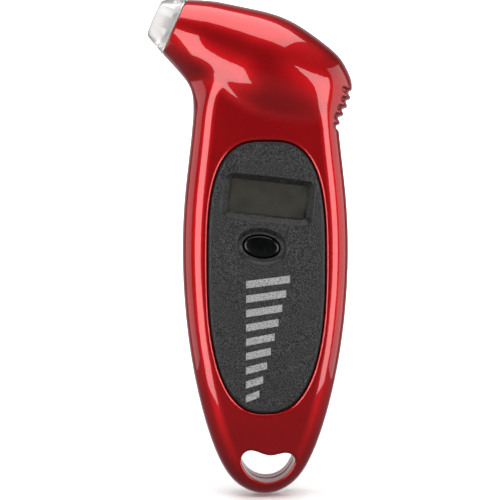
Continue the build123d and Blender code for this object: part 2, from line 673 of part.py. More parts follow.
with BuildPart() as nozzle_tip:
    with BuildSketch(nozzle_profile):
        with BuildLine():
            Line((neck_end, pocket_radius), (bore_end, pocket_radius))
            Line((bore_end, pocket_radius), (bore_end, bore_radius))
            Line((bore_end, bore_radius), (bore_start, bore_radius))
            Line((bore_start, bore_radius), (0.0, bore_radius + 0.35))
            Spline((0.0, bore_radius + 0.35), (0.25, tip_radius - 0.55), (1.0, tip_radius), tangents=[(0, 1), (1, 0.3)])
            Line((1.0, tip_radius), (6.1, cone_radius))
            Line((6.1, cone_radius), (6.1, flange_radius))
            Line((6.1, flange_radius), (6.75, flange_radius))
            Line((6.75, flange_radius), (6.75, neck_radius))
            Line((6.75, neck_radius), (8.9, neck_radius))
            Line((8.9, neck_radius), (8.9, catch_radius))
            Line((8.9, catch_radius), (10.1, catch_radius))
            Line((10.1, catch_radius), (10.1, neck_radius))
            Line((10.1, neck_radius), (neck_end, neck_radius))
            Line((neck_end, neck_radius), (neck_end, pocket_radius))
        make_face()
    revolve(axis=nozzle_axis)
    # two small notches in the foot of the cone, where the tip keys to the shell
    with BuildSketch(across_nozzle(notch_start)):
        with PolarLocations(cone_radius + 0.35, 2, start_angle=164, angular_range=38, endpoint=True):
            Rectangle(notch_depth, notch_width)
    extrude(amount=notch_length, mode=Mode.SUBTRACT)
nozzle_tip.part.label = "nozzle_tip"

with BuildPart() as valve_seal:
    seal_face = bore_end + gap
    add(turned([
        (seal_face + 0.4, seal_bore), (seal_face, seal_bore + 0.4), (seal_face, seal_radius), (seal_end, seal_radius),
        (seal_end, seal_bore),
    ]))  # fmt: skip
valve_seal.part.label = "valve_seal"

with BuildPart() as valve_pin:
    add(turned([
        (pin_start, pin_bore), (pin_start, 0.85), (pin_start + 0.25, pin_radius), (pin_end, pin_radius),
        (pin_end, pin_bore),
    ]))  # fmt: skip
    with BuildSketch(Plane(origin=mouth + axis_in * (pin_start + 0.6), x_dir=axis_in, z_dir=(0, -1, 0))):
        Rectangle(1.0, 0.4)
    extrude(amount=pin_radius, both=True, mode=Mode.SUBTRACT)
valve_pin.part.label = "valve_pin"

with BuildPart() as air_chamber:
    face = seal_end + gap
    shoulder = saddle_start - gap
    add(turned([
        (face, pin_radius + 0.02), (face, seal_radius), (neck_end, seal_radius), (neck_end, 4.6), (shoulder, 4.6),
        (shoulder, chamber_radius), (cup_start, chamber_radius), (cup_start, cup_radius), (cup_end, cup_radius),
        (cup_end, cup_pocket), (cup_floor, cup_pocket), (cup_floor, 0.8), (pin_end + gap, 0.8),
        (pin_end + gap, pin_radius + 0.02),
    ]))  # fmt: skip
air_chamber.part.label = "air_chamber"

with BuildPart() as sensor_ring:
    with Locations(across_nozzle((cup_floor + sensor_start) / 2)):
        Torus(cup_pocket - 0.75, (sensor_start - cup_floor) / 2 - 0.02)
sensor_ring.part.label = "sensor_ring"

with BuildPart() as pressure_sensor:
    add(turned([(sensor_start, 0.6), (sensor_start, sensor_radius), (sensor_end, sensor_radius), (sensor_end, 0)] + [
        (sensor_start + 1.2, 0), (sensor_start + 1.2, 0.6)
    ]))  # fmt: skip
    with BuildSketch(across_nozzle(sensor_end)):
        with Locations(*[(y, 0) for y in (-sensor_pin, 0, sensor_pin)]):
            Circle(0.3)
    extrude(amount=2)
pressure_sensor.part.label = "pressure_sensor"

with BuildPart() as sensor_cap:
    add(turned([
        (cap_start, cup_radius + gap), (cap_start, cap_radius), (cap_end, cap_radius), (cap_end, cap_opening),
        (sensor_end + gap, cap_opening), (sensor_end + gap, cup_radius + gap),
    ]))  # fmt: skip
    with BuildSketch(across_nozzle(cap_start)):
        with PolarLocations(cap_radius + 0.35, 12):
            Circle(0.7)
    extrude(amount=cap_end - cap_start, mode=Mode.SUBTRACT)
sensor_cap.part.label = "sensor_cap"

with BuildPart() as nozzle_led:
    with BuildSketch(across_nozzle(led_start + led_radius)):
        with Locations((0, led_offset)):
            Circle(led_radius)
    extrude(amount=led_end - led_start - led_radius)
    with Locations(mouth + axis_in * (led_start + led_radius) + axis_up * led_offset):
        Sphere(led_radius)
    with BuildSketch(across_nozzle(led_end)):
        with Locations((-0.7, led_offset), (0.7, led_offset)):
            Circle(0.25)
    extrude(amount=led_lead)
nozzle_led.part.label = "nozzle_led"


# ----------------------------------------------------------------------------------------------------------- wires
def in_nozzle(distance, up, y):
    """The point at a distance in from the mouth, so far above the nozzle's axis and behind the parting plane."""
    return mouth + axis_in * distance + axis_up * up + Vector(0, y, 0)


def wire(*corners):
    """A round wire of straight runs joined by tangent arcs."""
    with BuildPart() as cord:
        with BuildLine() as route:
            FilletPolyline(*corners, radius=wire_turn)
        with BuildSketch(Plane(origin=route.line @ 0, z_dir=route.line % 0)):
            Circle(wire_radius)
        sweep(path=route.line)
    return cord.part


def soldered(x):
    """The last two corners of a wire that comes down behind the board and ends on its rear."""
    return (x, wire_standoff, solder_z + wire_drop), (x, wire_radius - board_back, solder_z)


wire_radius, wire_turn, wire_standoff, wire_drop, solder_z = 0.4, 2.5, 4.0, 6.0, 97.0
with BuildPart() as sensor_wires:
    for y, x in ((-sensor_pin, -0.5), (0, 2.5), (sensor_pin, 5.5)):
        add(wire(in_nozzle(sensor_end + 2 + gap, 0, y), in_nozzle(36, 0, y), *soldered(x)))
sensor_wires.part.label = "sensor_wires"

with BuildPart() as led_wires:
    for y, out, x in ((-0.7, 3.4, 10.5), (0.7, 5.2, 13.5)):
        start = in_nozzle(led_end + led_lead + gap, led_offset, y)
        over_cap = [in_nozzle(22.5, 8.7, y + 1), in_nozzle(32, 8.7, out)]
        add(wire(start, *over_cap, in_nozzle(38, -1, out), *soldered(x)))
led_wires.part.label = "led_wires"

# --------------------------------------------------------------------------------------------------------- output
pieces = [
    front_shell, rear_shell, face_panel, panel_graphic, display_window, lcd_panel, backlight_plate, zebra_strips,
    lcd_frame, button_cap, switch_body, switch_plunger, main_board, controller_chip, board_components, board_screws,
    coin_cell, negative_contact, positive_contact, battery_door, door_screws, housing_screws, nozzle_tip, valve_seal,
    valve_pin, air_chamber, sensor_ring, pressure_sensor, sensor_cap, nozzle_led, sensor_wires, led_wires,
]  # fmt: skip
os.makedirs("parts", exist_ok=True)
for piece in pieces:
    export_step(piece.part, f"parts/{piece.part.label}.step")
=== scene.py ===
"""Digital tyre pressure gauge: the visual model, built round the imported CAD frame.

Sizes are in millimetres, in the CAD's frame, and turn into metres where a mesh is made. The floor, the
lights and the camera are in metres. A field is a function of x, y and z that is negative inside a piece and
close to a distance.
"""

import functools
import math

import bmesh
import bpy
import numpy as np
from mathutils import Matrix, Vector

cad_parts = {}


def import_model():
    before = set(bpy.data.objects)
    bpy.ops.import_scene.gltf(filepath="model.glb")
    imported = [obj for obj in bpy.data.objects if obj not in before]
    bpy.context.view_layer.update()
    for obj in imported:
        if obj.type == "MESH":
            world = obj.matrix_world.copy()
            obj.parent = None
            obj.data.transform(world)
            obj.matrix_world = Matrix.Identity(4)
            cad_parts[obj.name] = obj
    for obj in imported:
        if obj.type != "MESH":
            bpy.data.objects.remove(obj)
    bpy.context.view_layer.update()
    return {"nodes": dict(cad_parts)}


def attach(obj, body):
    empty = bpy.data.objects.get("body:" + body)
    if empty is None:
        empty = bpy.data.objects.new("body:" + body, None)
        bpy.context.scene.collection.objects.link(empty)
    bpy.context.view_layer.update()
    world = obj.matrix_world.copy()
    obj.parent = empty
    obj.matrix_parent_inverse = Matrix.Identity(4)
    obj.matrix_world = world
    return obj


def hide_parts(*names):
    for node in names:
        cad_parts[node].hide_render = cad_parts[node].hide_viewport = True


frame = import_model()
nodes = frame["nodes"]
MM = 0.001

# --------------------------------------------------------------------------------------- driving dimensions
HANDLE_X = 4.7
HALF_WIDTH = [  # of the handle, as (height, half width)
    (0.0, 0.0), (2.4, 7.1), (8.5, 12.5), (23.5, 18.25), (47.0, 23.0),
    (71.0, 24.8), (91.0, 24.1), (108.0, 22.2), (120.0, 20.6), (132.0, 16.5),
]
HALF_DEPTH = [  # of the handle, as (height, half depth)
    (-2.0, 5.8), (18.0, 7.7), (45.0, 9.4), (75.0, 9.8), (105.0, 9.6), (134.0, 9.6),
]
EDGE_ROUND = 6.6
TILT = math.radians(24.4)
MOUTH = (-28.35, 144.2)
HEAD_RADIUS = [  # as (distance in from the mouth, radius)
    (6.8, 8.85), (13.5, 11.5), (18.8, 12.9), (24.8, 14.3), (31.5, 15.65), (36.5, 16.0), (41.5, 15.6),
    (50.2, 13.9), (54.9, 12.4), (57.5, 10.9), (60.8, 8.1), (62.6, 5.2), (63.5, 0.0),
]
HEAD_FLATTENING, FLATTENING_END = 0.12, 30.0
BLEND_LEFT, BLEND_RIGHT, BLEND_FRONT = 13.0, 5.0, 4.0  # widths of the blend between handle and head
BLEND_TURN, BLEND_NARROWS = 20, (2, 9)
GRIP_TOP, GRIP_BOTTOM, GRIP_START = (30.6, 121.6), (26.9, 111.4), (18, 22)
GRIP_COUNT, GRIP_DEPTH, GRIP_LEAN, GRIP_REACH, GRIP_FADE = 5, 0.95, 0.42, 8.0, 1.6
HOLE_LEFT, HOLE_BOTTOM, HOLE_RIGHT = (-2.7, 12.7), (5.5, 4.8), (13.4, 12.1)
HOLE_TOP = [(10.9, 14.0), (5.6, 13.3), (-0.1, 14.9)]
HOLE_LIP = 1.1
WALL, HOLE_WALL, SEAM_GAP = 2.0, 1.8, 0.03
SEAT_RADIUS, SEAT_END = 6.85, 10.0  # of the nozzle's seat in the shells
PANEL_HALF_WIDTH, PANEL_Z, PANEL_UP, PANEL_DOWN = 17.6, 70.6, 37.1, 44.3
PANEL_POWER_UP, PANEL_POWER_DOWN = 3.0, 2.5  # of the two superellipses that its outline joins
PANEL_PROUD, PANEL_LEDGE, PANEL_REBATE, PANEL_GAP = 0.15, 1.5, 1.2, 0.14
PANEL_BACK = 2.45
PANEL_CROWN, CROWN_REACH = 0.25, 16
PANEL_POST, POST_OUT, POST_HEIGHTS, POST_END, POST_ROOT = 2.0, 11.5, (48.5, 74.0), 3.3, 8.0
WINDOW = (5.15, 90.5, 6.5, 11.55, 5.0)  # centre x, z, clockwise turn, half length, half height
WINDOW_FLOOR, WINDOW_BEVEL, WINDOW_CORNER, BEVEL_OUT, BEVEL_UP = 8.35, 1.6, 1.3, 2.3, 1.7
BEVEL_SLOPE = 0.62  # turns the window's level distance into one square to its bevel
LENS_MIDDLE, LENS_HALF, LENS_MARGIN = 7.65, 0.5, 0.8
BUTTON = (3.15, 76.5, 7.5, 5.4, 3.25)  # in the same order
BUTTON_TOP, BUTTON_DOME, BUTTON_BACK, BUTTON_GAP = 9.95, 0.45, 6.5, 0.25
FLANGE_OUT, FLANGE_MIDDLE, FLANGE_HALF = 0.75, 6.65, 0.42
DISH_DEPTH, DISH_START, DISH_END = 1.0, 0.5, 2.3
BAR_COUNT, BAR_LEFT, BAR_LOWEST, BAR_PITCH, BAR_NARROW, BAR_GROWTH = 9, -1.5, 32.5, 4.3, 4.0, 9.0
BAR_GRID, INK_EDGE, INK_RISE, INK_SUNK = (26, 10), 0.015, 0.05, 0.05
BAY_Z, BAY_HALF, BAY_CORNER, BAY_FLOOR, BAY_WALL = 62.0, 10.8, 3.0, 3.4, 1.2
DOOR_HALF, DOOR_CORNER, DOOR_FACE, DOOR_SCREW = (13.5, 18.0), 5.0, 7.9, 14.8
DOOR_LEDGE, DOOR_POST, DOOR_PILOT, DOOR_GAP = 1.5, 2.3, 0.95, 0.14
LEDGE_INNER, BAY_INNER, POST_INNER, PILOT_END = 6.3, 2.4, 3.0, 4.0
SLOT_PITCH, SLOT_HALF, SLOT_ROUND, SLOT_FLOOR = 2.2, 6.5, 0.45, 9.2
DOOR_RECESS, RECESS_FLOOR = 1.85, 8.6
THREAD_DEPTH, THREAD_PITCH = 0.09, 0.75
BOSSES = [(s * x + HANDLE_X, z) for x, z in ((17.2, 104.6), (10.5, 24.0)) for s in (-1, 1)]
BOSS_RADIUS, BOSS_BORE, COUNTERBORE, COUNTERBORE_FLOOR = 2.8, 1.15, 2.05, 4.5
CELL_RADIUS, CELL_MIDDLE, CELL_HALF = 10, 6.2, 1.3
CAP_RADIUS, CAP_MIDDLE, CAP_HALF = 8.8, 4.8, 0.5  # of the cell's smaller, front pole
RING_RADIUS, RING_HALF, RING_FLOOR = 7.2, 0.12, 7.42  # of the groove in its rear face
NOTCH_ANGLES, NOTCH_SIZE, NOTCH_AT = (-74, -112), (1.0, 1.6, 1.5), (5.7, 8.9)  # at: distance in, radius
BODY = "gauge"


# ------------------------------------------------------------------------------------------- curves, fields
def spline(points, count, closed=False):
    """count points along a smooth cubic through the given ones, evenly spaced along it."""
    p = np.array(points, float)
    if closed:
        p = np.vstack([p[-3:], p, p[:4]])
    t = np.concatenate([[0], np.cumsum(np.sqrt(np.linalg.norm(np.diff(p, axis=0), axis=1)))])
    n, h = len(p), np.diff(t)
    a, b = np.zeros((n, n)), np.zeros((n, 2))
    a[0, 0] = a[-1, -1] = 1
    for i in range(1, n - 1):
        a[i, i - 1], a[i, i], a[i, i + 1] = h[i - 1], 2 * (h[i - 1] + h[i]), h[i]
        b[i] = 6 * ((p[i + 1] - p[i]) / h[i] - (p[i] - p[i - 1]) / h[i - 1])
    m = np.linalg.solve(a, b)
    first, last = (t[3], t[-4]) if closed else (t[0], t[-1])
    u = np.linspace(first, last, count * 8)
    i = np.clip(np.searchsorted(t, u) - 1, 0, n - 2)
    w, hi = (u - t[i])[:, None], h[i][:, None]
    q = p[i] + w * ((p[i + 1] - p[i]) / hi - hi * (2 * m[i] + m[i + 1]) / 6) + w**2 * m[i] / 2
    q += w**3 * (m[i + 1] - m[i]) / (6 * hi)
    along = np.concatenate([[0], np.cumsum(np.linalg.norm(np.diff(q, axis=0), axis=1))])
    even = np.linspace(0, along[-1], count, endpoint=not closed)
    return np.stack([np.interp(even, along, q[:, 0]), np.interp(even, along, q[:, 1])], 1)


def signed_distance(points, outline):
    """Distance from points to a closed outline, negative inside it."""
    a, b = outline, np.roll(outline, -1, axis=0)
    best = np.full(len(points), 1e9)
    inside = np.zeros(len(points), bool)
    for (ax, ay), (bx, by) in zip(a, b):
        ex, ey = bx - ax, by - ay
        length = ex * ex + ey * ey
        if length < 1e-12:
            continue
        px, py = points[:, 0] - ax, points[:, 1] - ay
        t = np.clip((px * ex + py * ey) / length, 0, 1)
        best = np.minimum(best, (px - t * ex) ** 2 + (py - t * ey) ** 2)
        if ay != by:
            crosses = (points[:, 1] < ay) != (points[:, 1] < by)
            inside ^= crosses & (points[:, 0] < ax + (points[:, 1] - ay) * ex / ey)
    return np.where(inside, -1, 1) * np.sqrt(best)


class Outline:
    """The signed distance to a closed outline, sampled once on a grid and read back smoothly."""

    def __init__(self, outline, low, high, step):
        self.low, self.step = np.array(low, float), step
        n = np.ceil((np.array(high) - self.low) / step).astype(int) + 1
        x, y = [self.low[i] + step * np.arange(n[i]) for i in (0, 1)]
        grid = np.stack(np.meshgrid(x, y, indexing="ij"), -1).reshape(-1, 2)
        self.table = signed_distance(grid, outline).reshape(n)

    def __call__(self, x, y):
        """The distance at a point, by a cubic through the 16 samples round it."""
        g = [(v - lo) / self.step for v, lo in zip((x, y), self.low)]
        i = [np.clip(np.floor(v).astype(int), 1, n - 3) for v, n in zip(g, self.table.shape)]
        f = [np.clip(v - k, -1, 2) for v, k in zip(g, i)]
        weights = [
            [
                ((2 - t) * t - 1) * t / 2,
                ((3 * t - 5) * t * t + 2) / 2,
                ((4 - 3 * t) * t + 1) * t / 2,
                (t - 1) * t * t / 2,
            ]
            for t in f
        ]
        total = 0
        for j in range(4):
            for k in range(4):
                total = total + weights[0][j] * weights[1][k] * self.table[i[0] + j - 1, i[1] + k - 1]
        return total


def smin(a, b, k):
    """The lower of two fields, blended over a width k."""
    h = np.maximum(k - np.abs(a - b), 0) / k
    return np.minimum(a, b) - h * h * h * k / 6


def smax(a, b, k):
    """The higher of two fields, blended over a width k."""
    return -smin(-a, -b, k)


def smoothstep(x, low, high):
    """0 up to low, 1 from high on, and smooth between them."""
    t = np.clip((x - low) / (high - low), 0, 1)
    return t * t * (3 - 2 * t)


def turned(x, z, centre, degrees):
    """x and z in the axes of a piece turned clockwise on the front face."""
    c, s = math.cos(math.radians(degrees)), math.sin(math.radians(degrees))
    dx, dz = x - centre[0], z - centre[1]
    return dx * c - dz * s, dx * s + dz * c


def box_distance(x, z, half_x, half_z, corner):
    """Distance to a rounded rectangle."""
    qx, qz = np.abs(x) - half_x + corner, np.abs(z) - half_z + corner
    return np.hypot(np.maximum(qx, 0), np.maximum(qz, 0)) + np.minimum(np.maximum(qx, qz), 0) - corner


def oval_distance(x, z, half_x, half_z):
    """Nearly the distance to an ellipse."""
    r = np.sqrt((x / half_x) ** 2 + (z / half_z) ** 2) + 1e-9
    slope = np.sqrt((x / half_x**2) ** 2 + (z / half_z**2) ** 2) / r + 1e-9
    return (r - 1) / slope * np.clip(r, 0.2, 1)


# --------------------------------------------------------------------------------------------- the outlines
def handle_outline():
    """The handle from the front, open at its upper end inside the head."""
    right = [(HANDLE_X + w, z) for z, w in HALF_WIDTH]
    left = [(HANDLE_X - w, z) for z, w in reversed(HALF_WIDTH)]
    return spline(left + right[1:], 420)


def head_outline():
    """The head's section along the nozzle's axis, open at the mouth."""
    upper = [(s, r) for s, r in HEAD_RADIUS]
    lower = [(s, -r) for s, r in reversed(HEAD_RADIUS[:-1])]
    return spline(upper + lower, 420)


def hole_outline():
    """The lanyard hole: an arc through three points, closed by a wavy upper edge."""
    a, b, c = (np.array(p) for p in (HOLE_LEFT, HOLE_BOTTOM, HOLE_RIGHT))
    d = 2 * (a[0] * (b[1] - c[1]) + b[0] * (c[1] - a[1]) + c[0] * (a[1] - b[1]))
    ux = ((a @ a) * (b[1] - c[1]) + (b @ b) * (c[1] - a[1]) + (c @ c) * (a[1] - b[1])) / d
    uz = ((a @ a) * (c[0] - b[0]) + (b @ b) * (a[0] - c[0]) + (c @ c) * (b[0] - a[0])) / d
    radius = math.hypot(a[0] - ux, a[1] - uz)
    start, end = math.atan2(a[1] - uz, a[0] - ux), math.atan2(c[1] - uz, c[0] - ux)
    if start > 0:
        start -= 2 * math.pi
    if end > 0:
        end -= 2 * math.pi
    arc = [(ux + radius * math.cos(t), uz + radius * math.sin(t)) for t in np.linspace(start, end, 9)]
    return spline(arc + HOLE_TOP, 200, closed=True)


def panel_outline():
    """The insert from the front: half a superellipse above its widest line and half of another below."""
    angle = np.linspace(0, 2 * math.pi, 360, endpoint=False)
    up = np.sin(angle) >= 0
    power = np.where(up, 2 / PANEL_POWER_UP, 2 / PANEL_POWER_DOWN)
    reach = np.where(up, PANEL_UP, PANEL_DOWN)
    x = PANEL_HALF_WIDTH * np.abs(np.cos(angle)) ** power * np.sign(np.cos(angle))
    z = reach * np.abs(np.sin(angle)) ** power * np.sign(np.sin(angle))
    return np.stack([HANDLE_X + x, PANEL_Z + z], 1)


handle_map = Outline(handle_outline(), (-36, -8), (46, 158), 0.5)
head_map = Outline(head_outline(), (-6, -3), (72, 26), 0.4)
hole_map = Outline(hole_outline(), (-22, -8), (32, 34), 0.3)
panel_map = Outline(panel_outline(), (-24, 18), (34, 116), 0.4)
depth_line = spline(HALF_DEPTH, 400)


def depth(z):
    """Half the handle's depth at a height."""
    return np.interp(z, depth_line[:, 0], depth_line[:, 1])


def on_nozzle(x, z):
    """Distance in from the mouth along the nozzle's axis, and height above that axis."""
    dx, dz = x - MOUTH[0], z - MOUTH[1]
    return dx * math.cos(TILT) - dz * math.sin(TILT), dx * math.sin(TILT) + dz * math.cos(TILT)


def thumb_grooves(x, y, z):
    """How deep the thumb grip's grooves are, across the rear end of the head."""
    run = (GRIP_TOP[0] - GRIP_BOTTOM[0]) / (GRIP_TOP[1] - GRIP_BOTTOM[1])
    pitch = (GRIP_TOP[1] - GRIP_BOTTOM[1]) / (GRIP_COUNT - 1)
    lean = GRIP_LEAN * (GRIP_TOP[0] - run * GRIP_TOP[1] - x)
    t = (GRIP_TOP[1] - (z - lean) / (1 + GRIP_LEAN * run)) / pitch
    reach = smoothstep(x, *GRIP_START) * smoothstep(-np.abs(y), -GRIP_REACH, GRIP_FADE - GRIP_REACH)
    groove = 0.5 + 0.5 * np.cos(2 * math.pi * np.clip(t, -0.5, GRIP_COUNT - 0.5))
    return GRIP_DEPTH * reach * groove**1.3


def outer(x, y, z):
    """The field of the gauge's closed outer form."""
    q1, q2 = handle_map(x, z) + EDGE_ROUND, np.abs(y) - depth(z) + EDGE_ROUND
    handle = np.hypot(np.maximum(q1, 0), np.maximum(q2, 0)) + np.minimum(np.maximum(q1, q2), 0) - EDGE_ROUND
    s, up = on_nozzle(x, z)
    flat = 1 - HEAD_FLATTENING * smoothstep(s, HEAD_RADIUS[0][0], FLATTENING_END)
    head = head_map(s, np.hypot(up, y / flat))
    k = BLEND_RIGHT + (BLEND_LEFT - BLEND_RIGHT) * smoothstep(-x, -BLEND_TURN, 0)
    k = k + (BLEND_FRONT - k) * smoothstep(np.abs(y), *BLEND_NARROWS)
    return smin(handle, head, k) + thumb_grooves(x, y, z)


# --------------------------------------------------------------------------------------------------- meshes
def surface_net(field, low, step):
    """Vertices and quads on the zero level of a sampled field."""
    inside = field < 0
    shape = np.array(field.shape) - 1
    corner = [(i, j, k) for i in (0, 1) for j in (0, 1) for k in (0, 1)]
    part = [slice(0, -1), slice(1, None)]
    count = sum(inside[part[i], part[j], part[k]].astype(np.int8) for i, j, k in corner)
    active = (count > 0) & (count < 8)
    index = np.full(shape, -1, np.int64)
    cells = np.argwhere(active)
    index[active] = np.arange(len(cells))
    total, hits = np.zeros((len(cells), 3)), np.zeros(len(cells))
    for a in corner:
        for axis in range(3):
            if a[axis]:
                continue
            b = list(a)
            b[axis] = 1
            fa = field[tuple((cells + a).T)]
            fb = field[tuple((cells + b).T)]
            cross = (fa < 0) != (fb < 0)
            t = np.where(cross, fa / np.where(cross, fa - fb, 1), 0)
            point = np.array(a) + t[:, None] * (np.array(b) - np.array(a))
            total += point * cross[:, None]
            hits += cross
    vertices = np.array(low) + step * (cells + total / hits[:, None])
    quads = []
    for axis in range(3):
        u, v = (axis + 1) % 3, (axis + 2) % 3
        low_side = [slice(None)] * 3
        high_side = [slice(None)] * 3
        low_side[axis], high_side[axis] = slice(0, -1), slice(1, None)
        a, b = inside[tuple(low_side)], inside[tuple(high_side)]
        for flip, mask in ((False, a & ~b), (True, ~a & b)):
            at = np.argwhere(mask)
            at = at[(at[:, u] > 0) & (at[:, v] > 0) & (at[:, u] < shape[u]) & (at[:, v] < shape[v])]
            ring = []
            for du, dv in ((-1, -1), (0, -1), (0, 0), (-1, 0)):
                cell = at.copy()
                cell[:, u] += du
                cell[:, v] += dv
                ring.append(index[tuple(cell.T)])
            quad = np.stack(ring[::-1] if flip else ring, 1)
            quads.append(quad)
    return vertices, np.vstack(quads)


def settle(vertices, function, reach):
    """Moves vertices onto the function's zero level along its gradient."""
    e = 0.02
    for _ in range(3):
        x, y, z = vertices.T
        f = function(x, y, z)
        g = np.stack(
            [
                function(x + e, y, z) - function(x - e, y, z),
                function(x, y + e, z) - function(x, y - e, z),
                function(x, y, z + e) - function(x, y, z - e),
            ],
            1,
        ) / (2 * e)
        step = (f / np.maximum((g**2).sum(1), 0.05))[:, None] * g
        size = np.linalg.norm(step, axis=1, keepdims=True)
        vertices = vertices - step * np.minimum(1, reach / np.maximum(size, 1e-9))
    return vertices


def mesh_object(name, vertices, faces, material, body=BODY):
    """A smooth-shaded mesh that rides on a body, from points in millimetres."""
    mesh = bpy.data.meshes.new(name)
    vertices = np.asarray(vertices, float) * MM
    if isinstance(faces, np.ndarray):
        n, k = faces.shape
        mesh.vertices.add(len(vertices))
        mesh.vertices.foreach_set("co", vertices.astype(np.float32).ravel())
        mesh.loops.add(n * k)
        mesh.loops.foreach_set("vertex_index", faces.astype(np.int32).ravel())
        mesh.polygons.add(n)
        mesh.polygons.foreach_set("loop_start", np.arange(0, n * k, k, dtype=np.int32))
        mesh.update(calc_edges=True)
    else:
        mesh.from_pydata([tuple(v) for v in vertices], [], faces)
    mesh.validate()
    mesh.polygons.foreach_set("use_smooth", [True] * len(mesh.polygons))
    mesh.materials.append(material)
    obj = bpy.data.objects.new(name, mesh)
    bpy.context.scene.collection.objects.link(obj)
    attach(obj, body)
    return obj


def moulded(name, function, low, high, step, material, body=BODY):
    """A piece whose surface is the zero level of a function, sampled on a grid."""
    low, high = np.array(low, float), np.array(high, float)
    n = np.ceil((high - low) / step).astype(int) + 1
    axes = [low[i] + step * np.arange(n[i]) for i in range(3)]
    field = np.empty(n, np.float64)
    y, z = np.meshgrid(axes[1], axes[2], indexing="ij")
    y, z = y.ravel(), z.ravel()
    for i in range(0, n[0], 16):
        xs = axes[0][i : i + 16]
        x = np.repeat(xs, len(y))
        values = function(x, np.tile(y, len(xs)), np.tile(z, len(xs)))
        field[i : i + 16] = values.reshape(len(xs), n[1], n[2])
    vertices, faces = surface_net(field, low, step)
    vertices = settle(vertices, function, step * 0.6)
    return mesh_object(name, vertices, faces, material, body)


def nozzle_point(s, radius, angle):
    """A point at a distance in from the mouth, out from the nozzle's axis at an angle round it."""
    c, t = math.cos(TILT), math.sin(TILT)
    up, side = radius * np.cos(angle), radius * np.sin(angle)
    return np.stack([MOUTH[0] + s * c + up * t, side, MOUTH[1] - s * t + up * c], -1)


def lathe(name, profile, material, segments=160):
    """A closed turned piece from (distance, radius) points round its section."""
    profile = np.array(profile, float)
    angle = np.linspace(0, 2 * math.pi, segments, endpoint=False)
    rings = [nozzle_point(np.full(segments, s), np.full(segments, r), angle) for s, r in profile]
    vertices = np.vstack(rings)
    n = len(profile)
    faces = []
    for i in range(n):
        j = (i + 1) % n
        a, b = i * segments + np.arange(segments), j * segments + np.arange(segments)
        faces.append(np.stack([a, b, np.roll(b, -1), np.roll(a, -1)], 1))
    obj = mesh_object(name, vertices, np.vstack(faces), material)
    tidy_mesh(obj)
    return obj


def tidy_mesh(obj):
    """Welds what coincides and turns the faces outwards."""
    bm = bmesh.new()
    bm.from_mesh(obj.data)
    bmesh.ops.remove_doubles(bm, verts=bm.verts, dist=1e-7)
    bmesh.ops.recalc_face_normals(bm, faces=bm.faces)
    bm.to_mesh(obj.data)
    bm.free()


def rounded(points, radius, steps=5):
    """A closed section with its corners rounded."""
    out = []
    n = len(points)
    for i in range(n):
        a, b, c = (np.array(points[(i + d) % n], float) for d in (-1, 0, 1))
        u, v = a - b, c - b
        lu, lv = np.linalg.norm(u), np.linalg.norm(v)
        d = min(radius, lu * 0.45, lv * 0.45)
        p, q = b + u / lu * d, b + v / lv * d
        for t in np.linspace(0, 1, steps):
            out.append(tuple((1 - t) ** 2 * p + 2 * t * (1 - t) * b + t * t * q))
    return out


# ------------------------------------------------------------------------------------------------ materials
class Nodes:
    """A short way to write a node material."""

    def __init__(self, name):
        self.material = bpy.data.materials.new(name)
        self.material.use_nodes = True
        self.tree = self.material.node_tree
        self.shader = self.tree.nodes["Principled BSDF"]
        self.position = self.add("ShaderNodeTexCoord").outputs["Object"]

    def add(self, kind, **values):
        """A new node with its properties set."""
        node = self.tree.nodes.new(kind)
        for key, value in values.items():
            setattr(node, key, value)
        return node

    def set(self, **values):
        """Plugs several sockets of the shader, named with _ for each space."""
        for key, value in values.items():
            self.plug(key.replace("_", " "), value)

    def plug(self, name, value):
        """Links an output to a socket of the shader, or sets the socket to a value."""
        socket = self.shader.inputs[name]
        if isinstance(value, bpy.types.NodeSocket):
            self.tree.links.new(value, socket)
        elif isinstance(value, tuple):
            socket.default_value = (*value, 1.0)[: len(socket.default_value)]
        else:
            socket.default_value = value

    def scaled(self, factors):
        """The position, stretched along the three axes."""
        mapping = self.add("ShaderNodeMapping")
        mapping.inputs["Scale"].default_value = factors
        self.tree.links.new(self.position, mapping.inputs["Vector"])
        return mapping.outputs["Vector"]

    def noise(self, size, detail=3.0, vector=None):
        """Noise whose features are about so many millimetres across."""
        node = self.add("ShaderNodeTexNoise")
        node.inputs["Scale"].default_value = 1 / (size * MM)
        node.inputs["Detail"].default_value = detail
        self.tree.links.new(vector or self.position, node.inputs["Vector"])
        return node.outputs["Fac"]

    def cells(self, size):
        """A colour for each of the cells that are about so many millimetres across."""
        node = self.add("ShaderNodeTexVoronoi")
        node.inputs["Scale"].default_value = 1 / (size * MM)
        self.tree.links.new(self.position, node.inputs["Vector"])
        return node.outputs["Color"]

    def ramp(self, value, *stops):
        """Colours or greys at positions from 0 to 1."""
        node = self.add("ShaderNodeValToRGB")
        elements = node.color_ramp.elements
        while len(elements) < len(stops):
            elements.new(0.5)
        for element, (at, colour) in zip(elements, stops):
            element.position = at
            rgb = colour if isinstance(colour, tuple) else (colour, colour, colour)
            element.color = (*rgb, 1.0)
        self.tree.links.new(value, node.inputs["Fac"])
        return node.outputs["Color"]

    def bump(self, height, distance, strength=1.0, normal=None):
        """Bump of so many millimetres from a height from 0 to 1."""
        node = self.add("ShaderNodeBump")
        node.inputs["Distance"].default_value = distance * MM
        node.inputs["Strength"].default_value = strength
        self.tree.links.new(height, node.inputs["Height"])
        if normal is not None:
            self.tree.links.new(normal, node.inputs["Normal"])
        return node.outputs["Normal"]


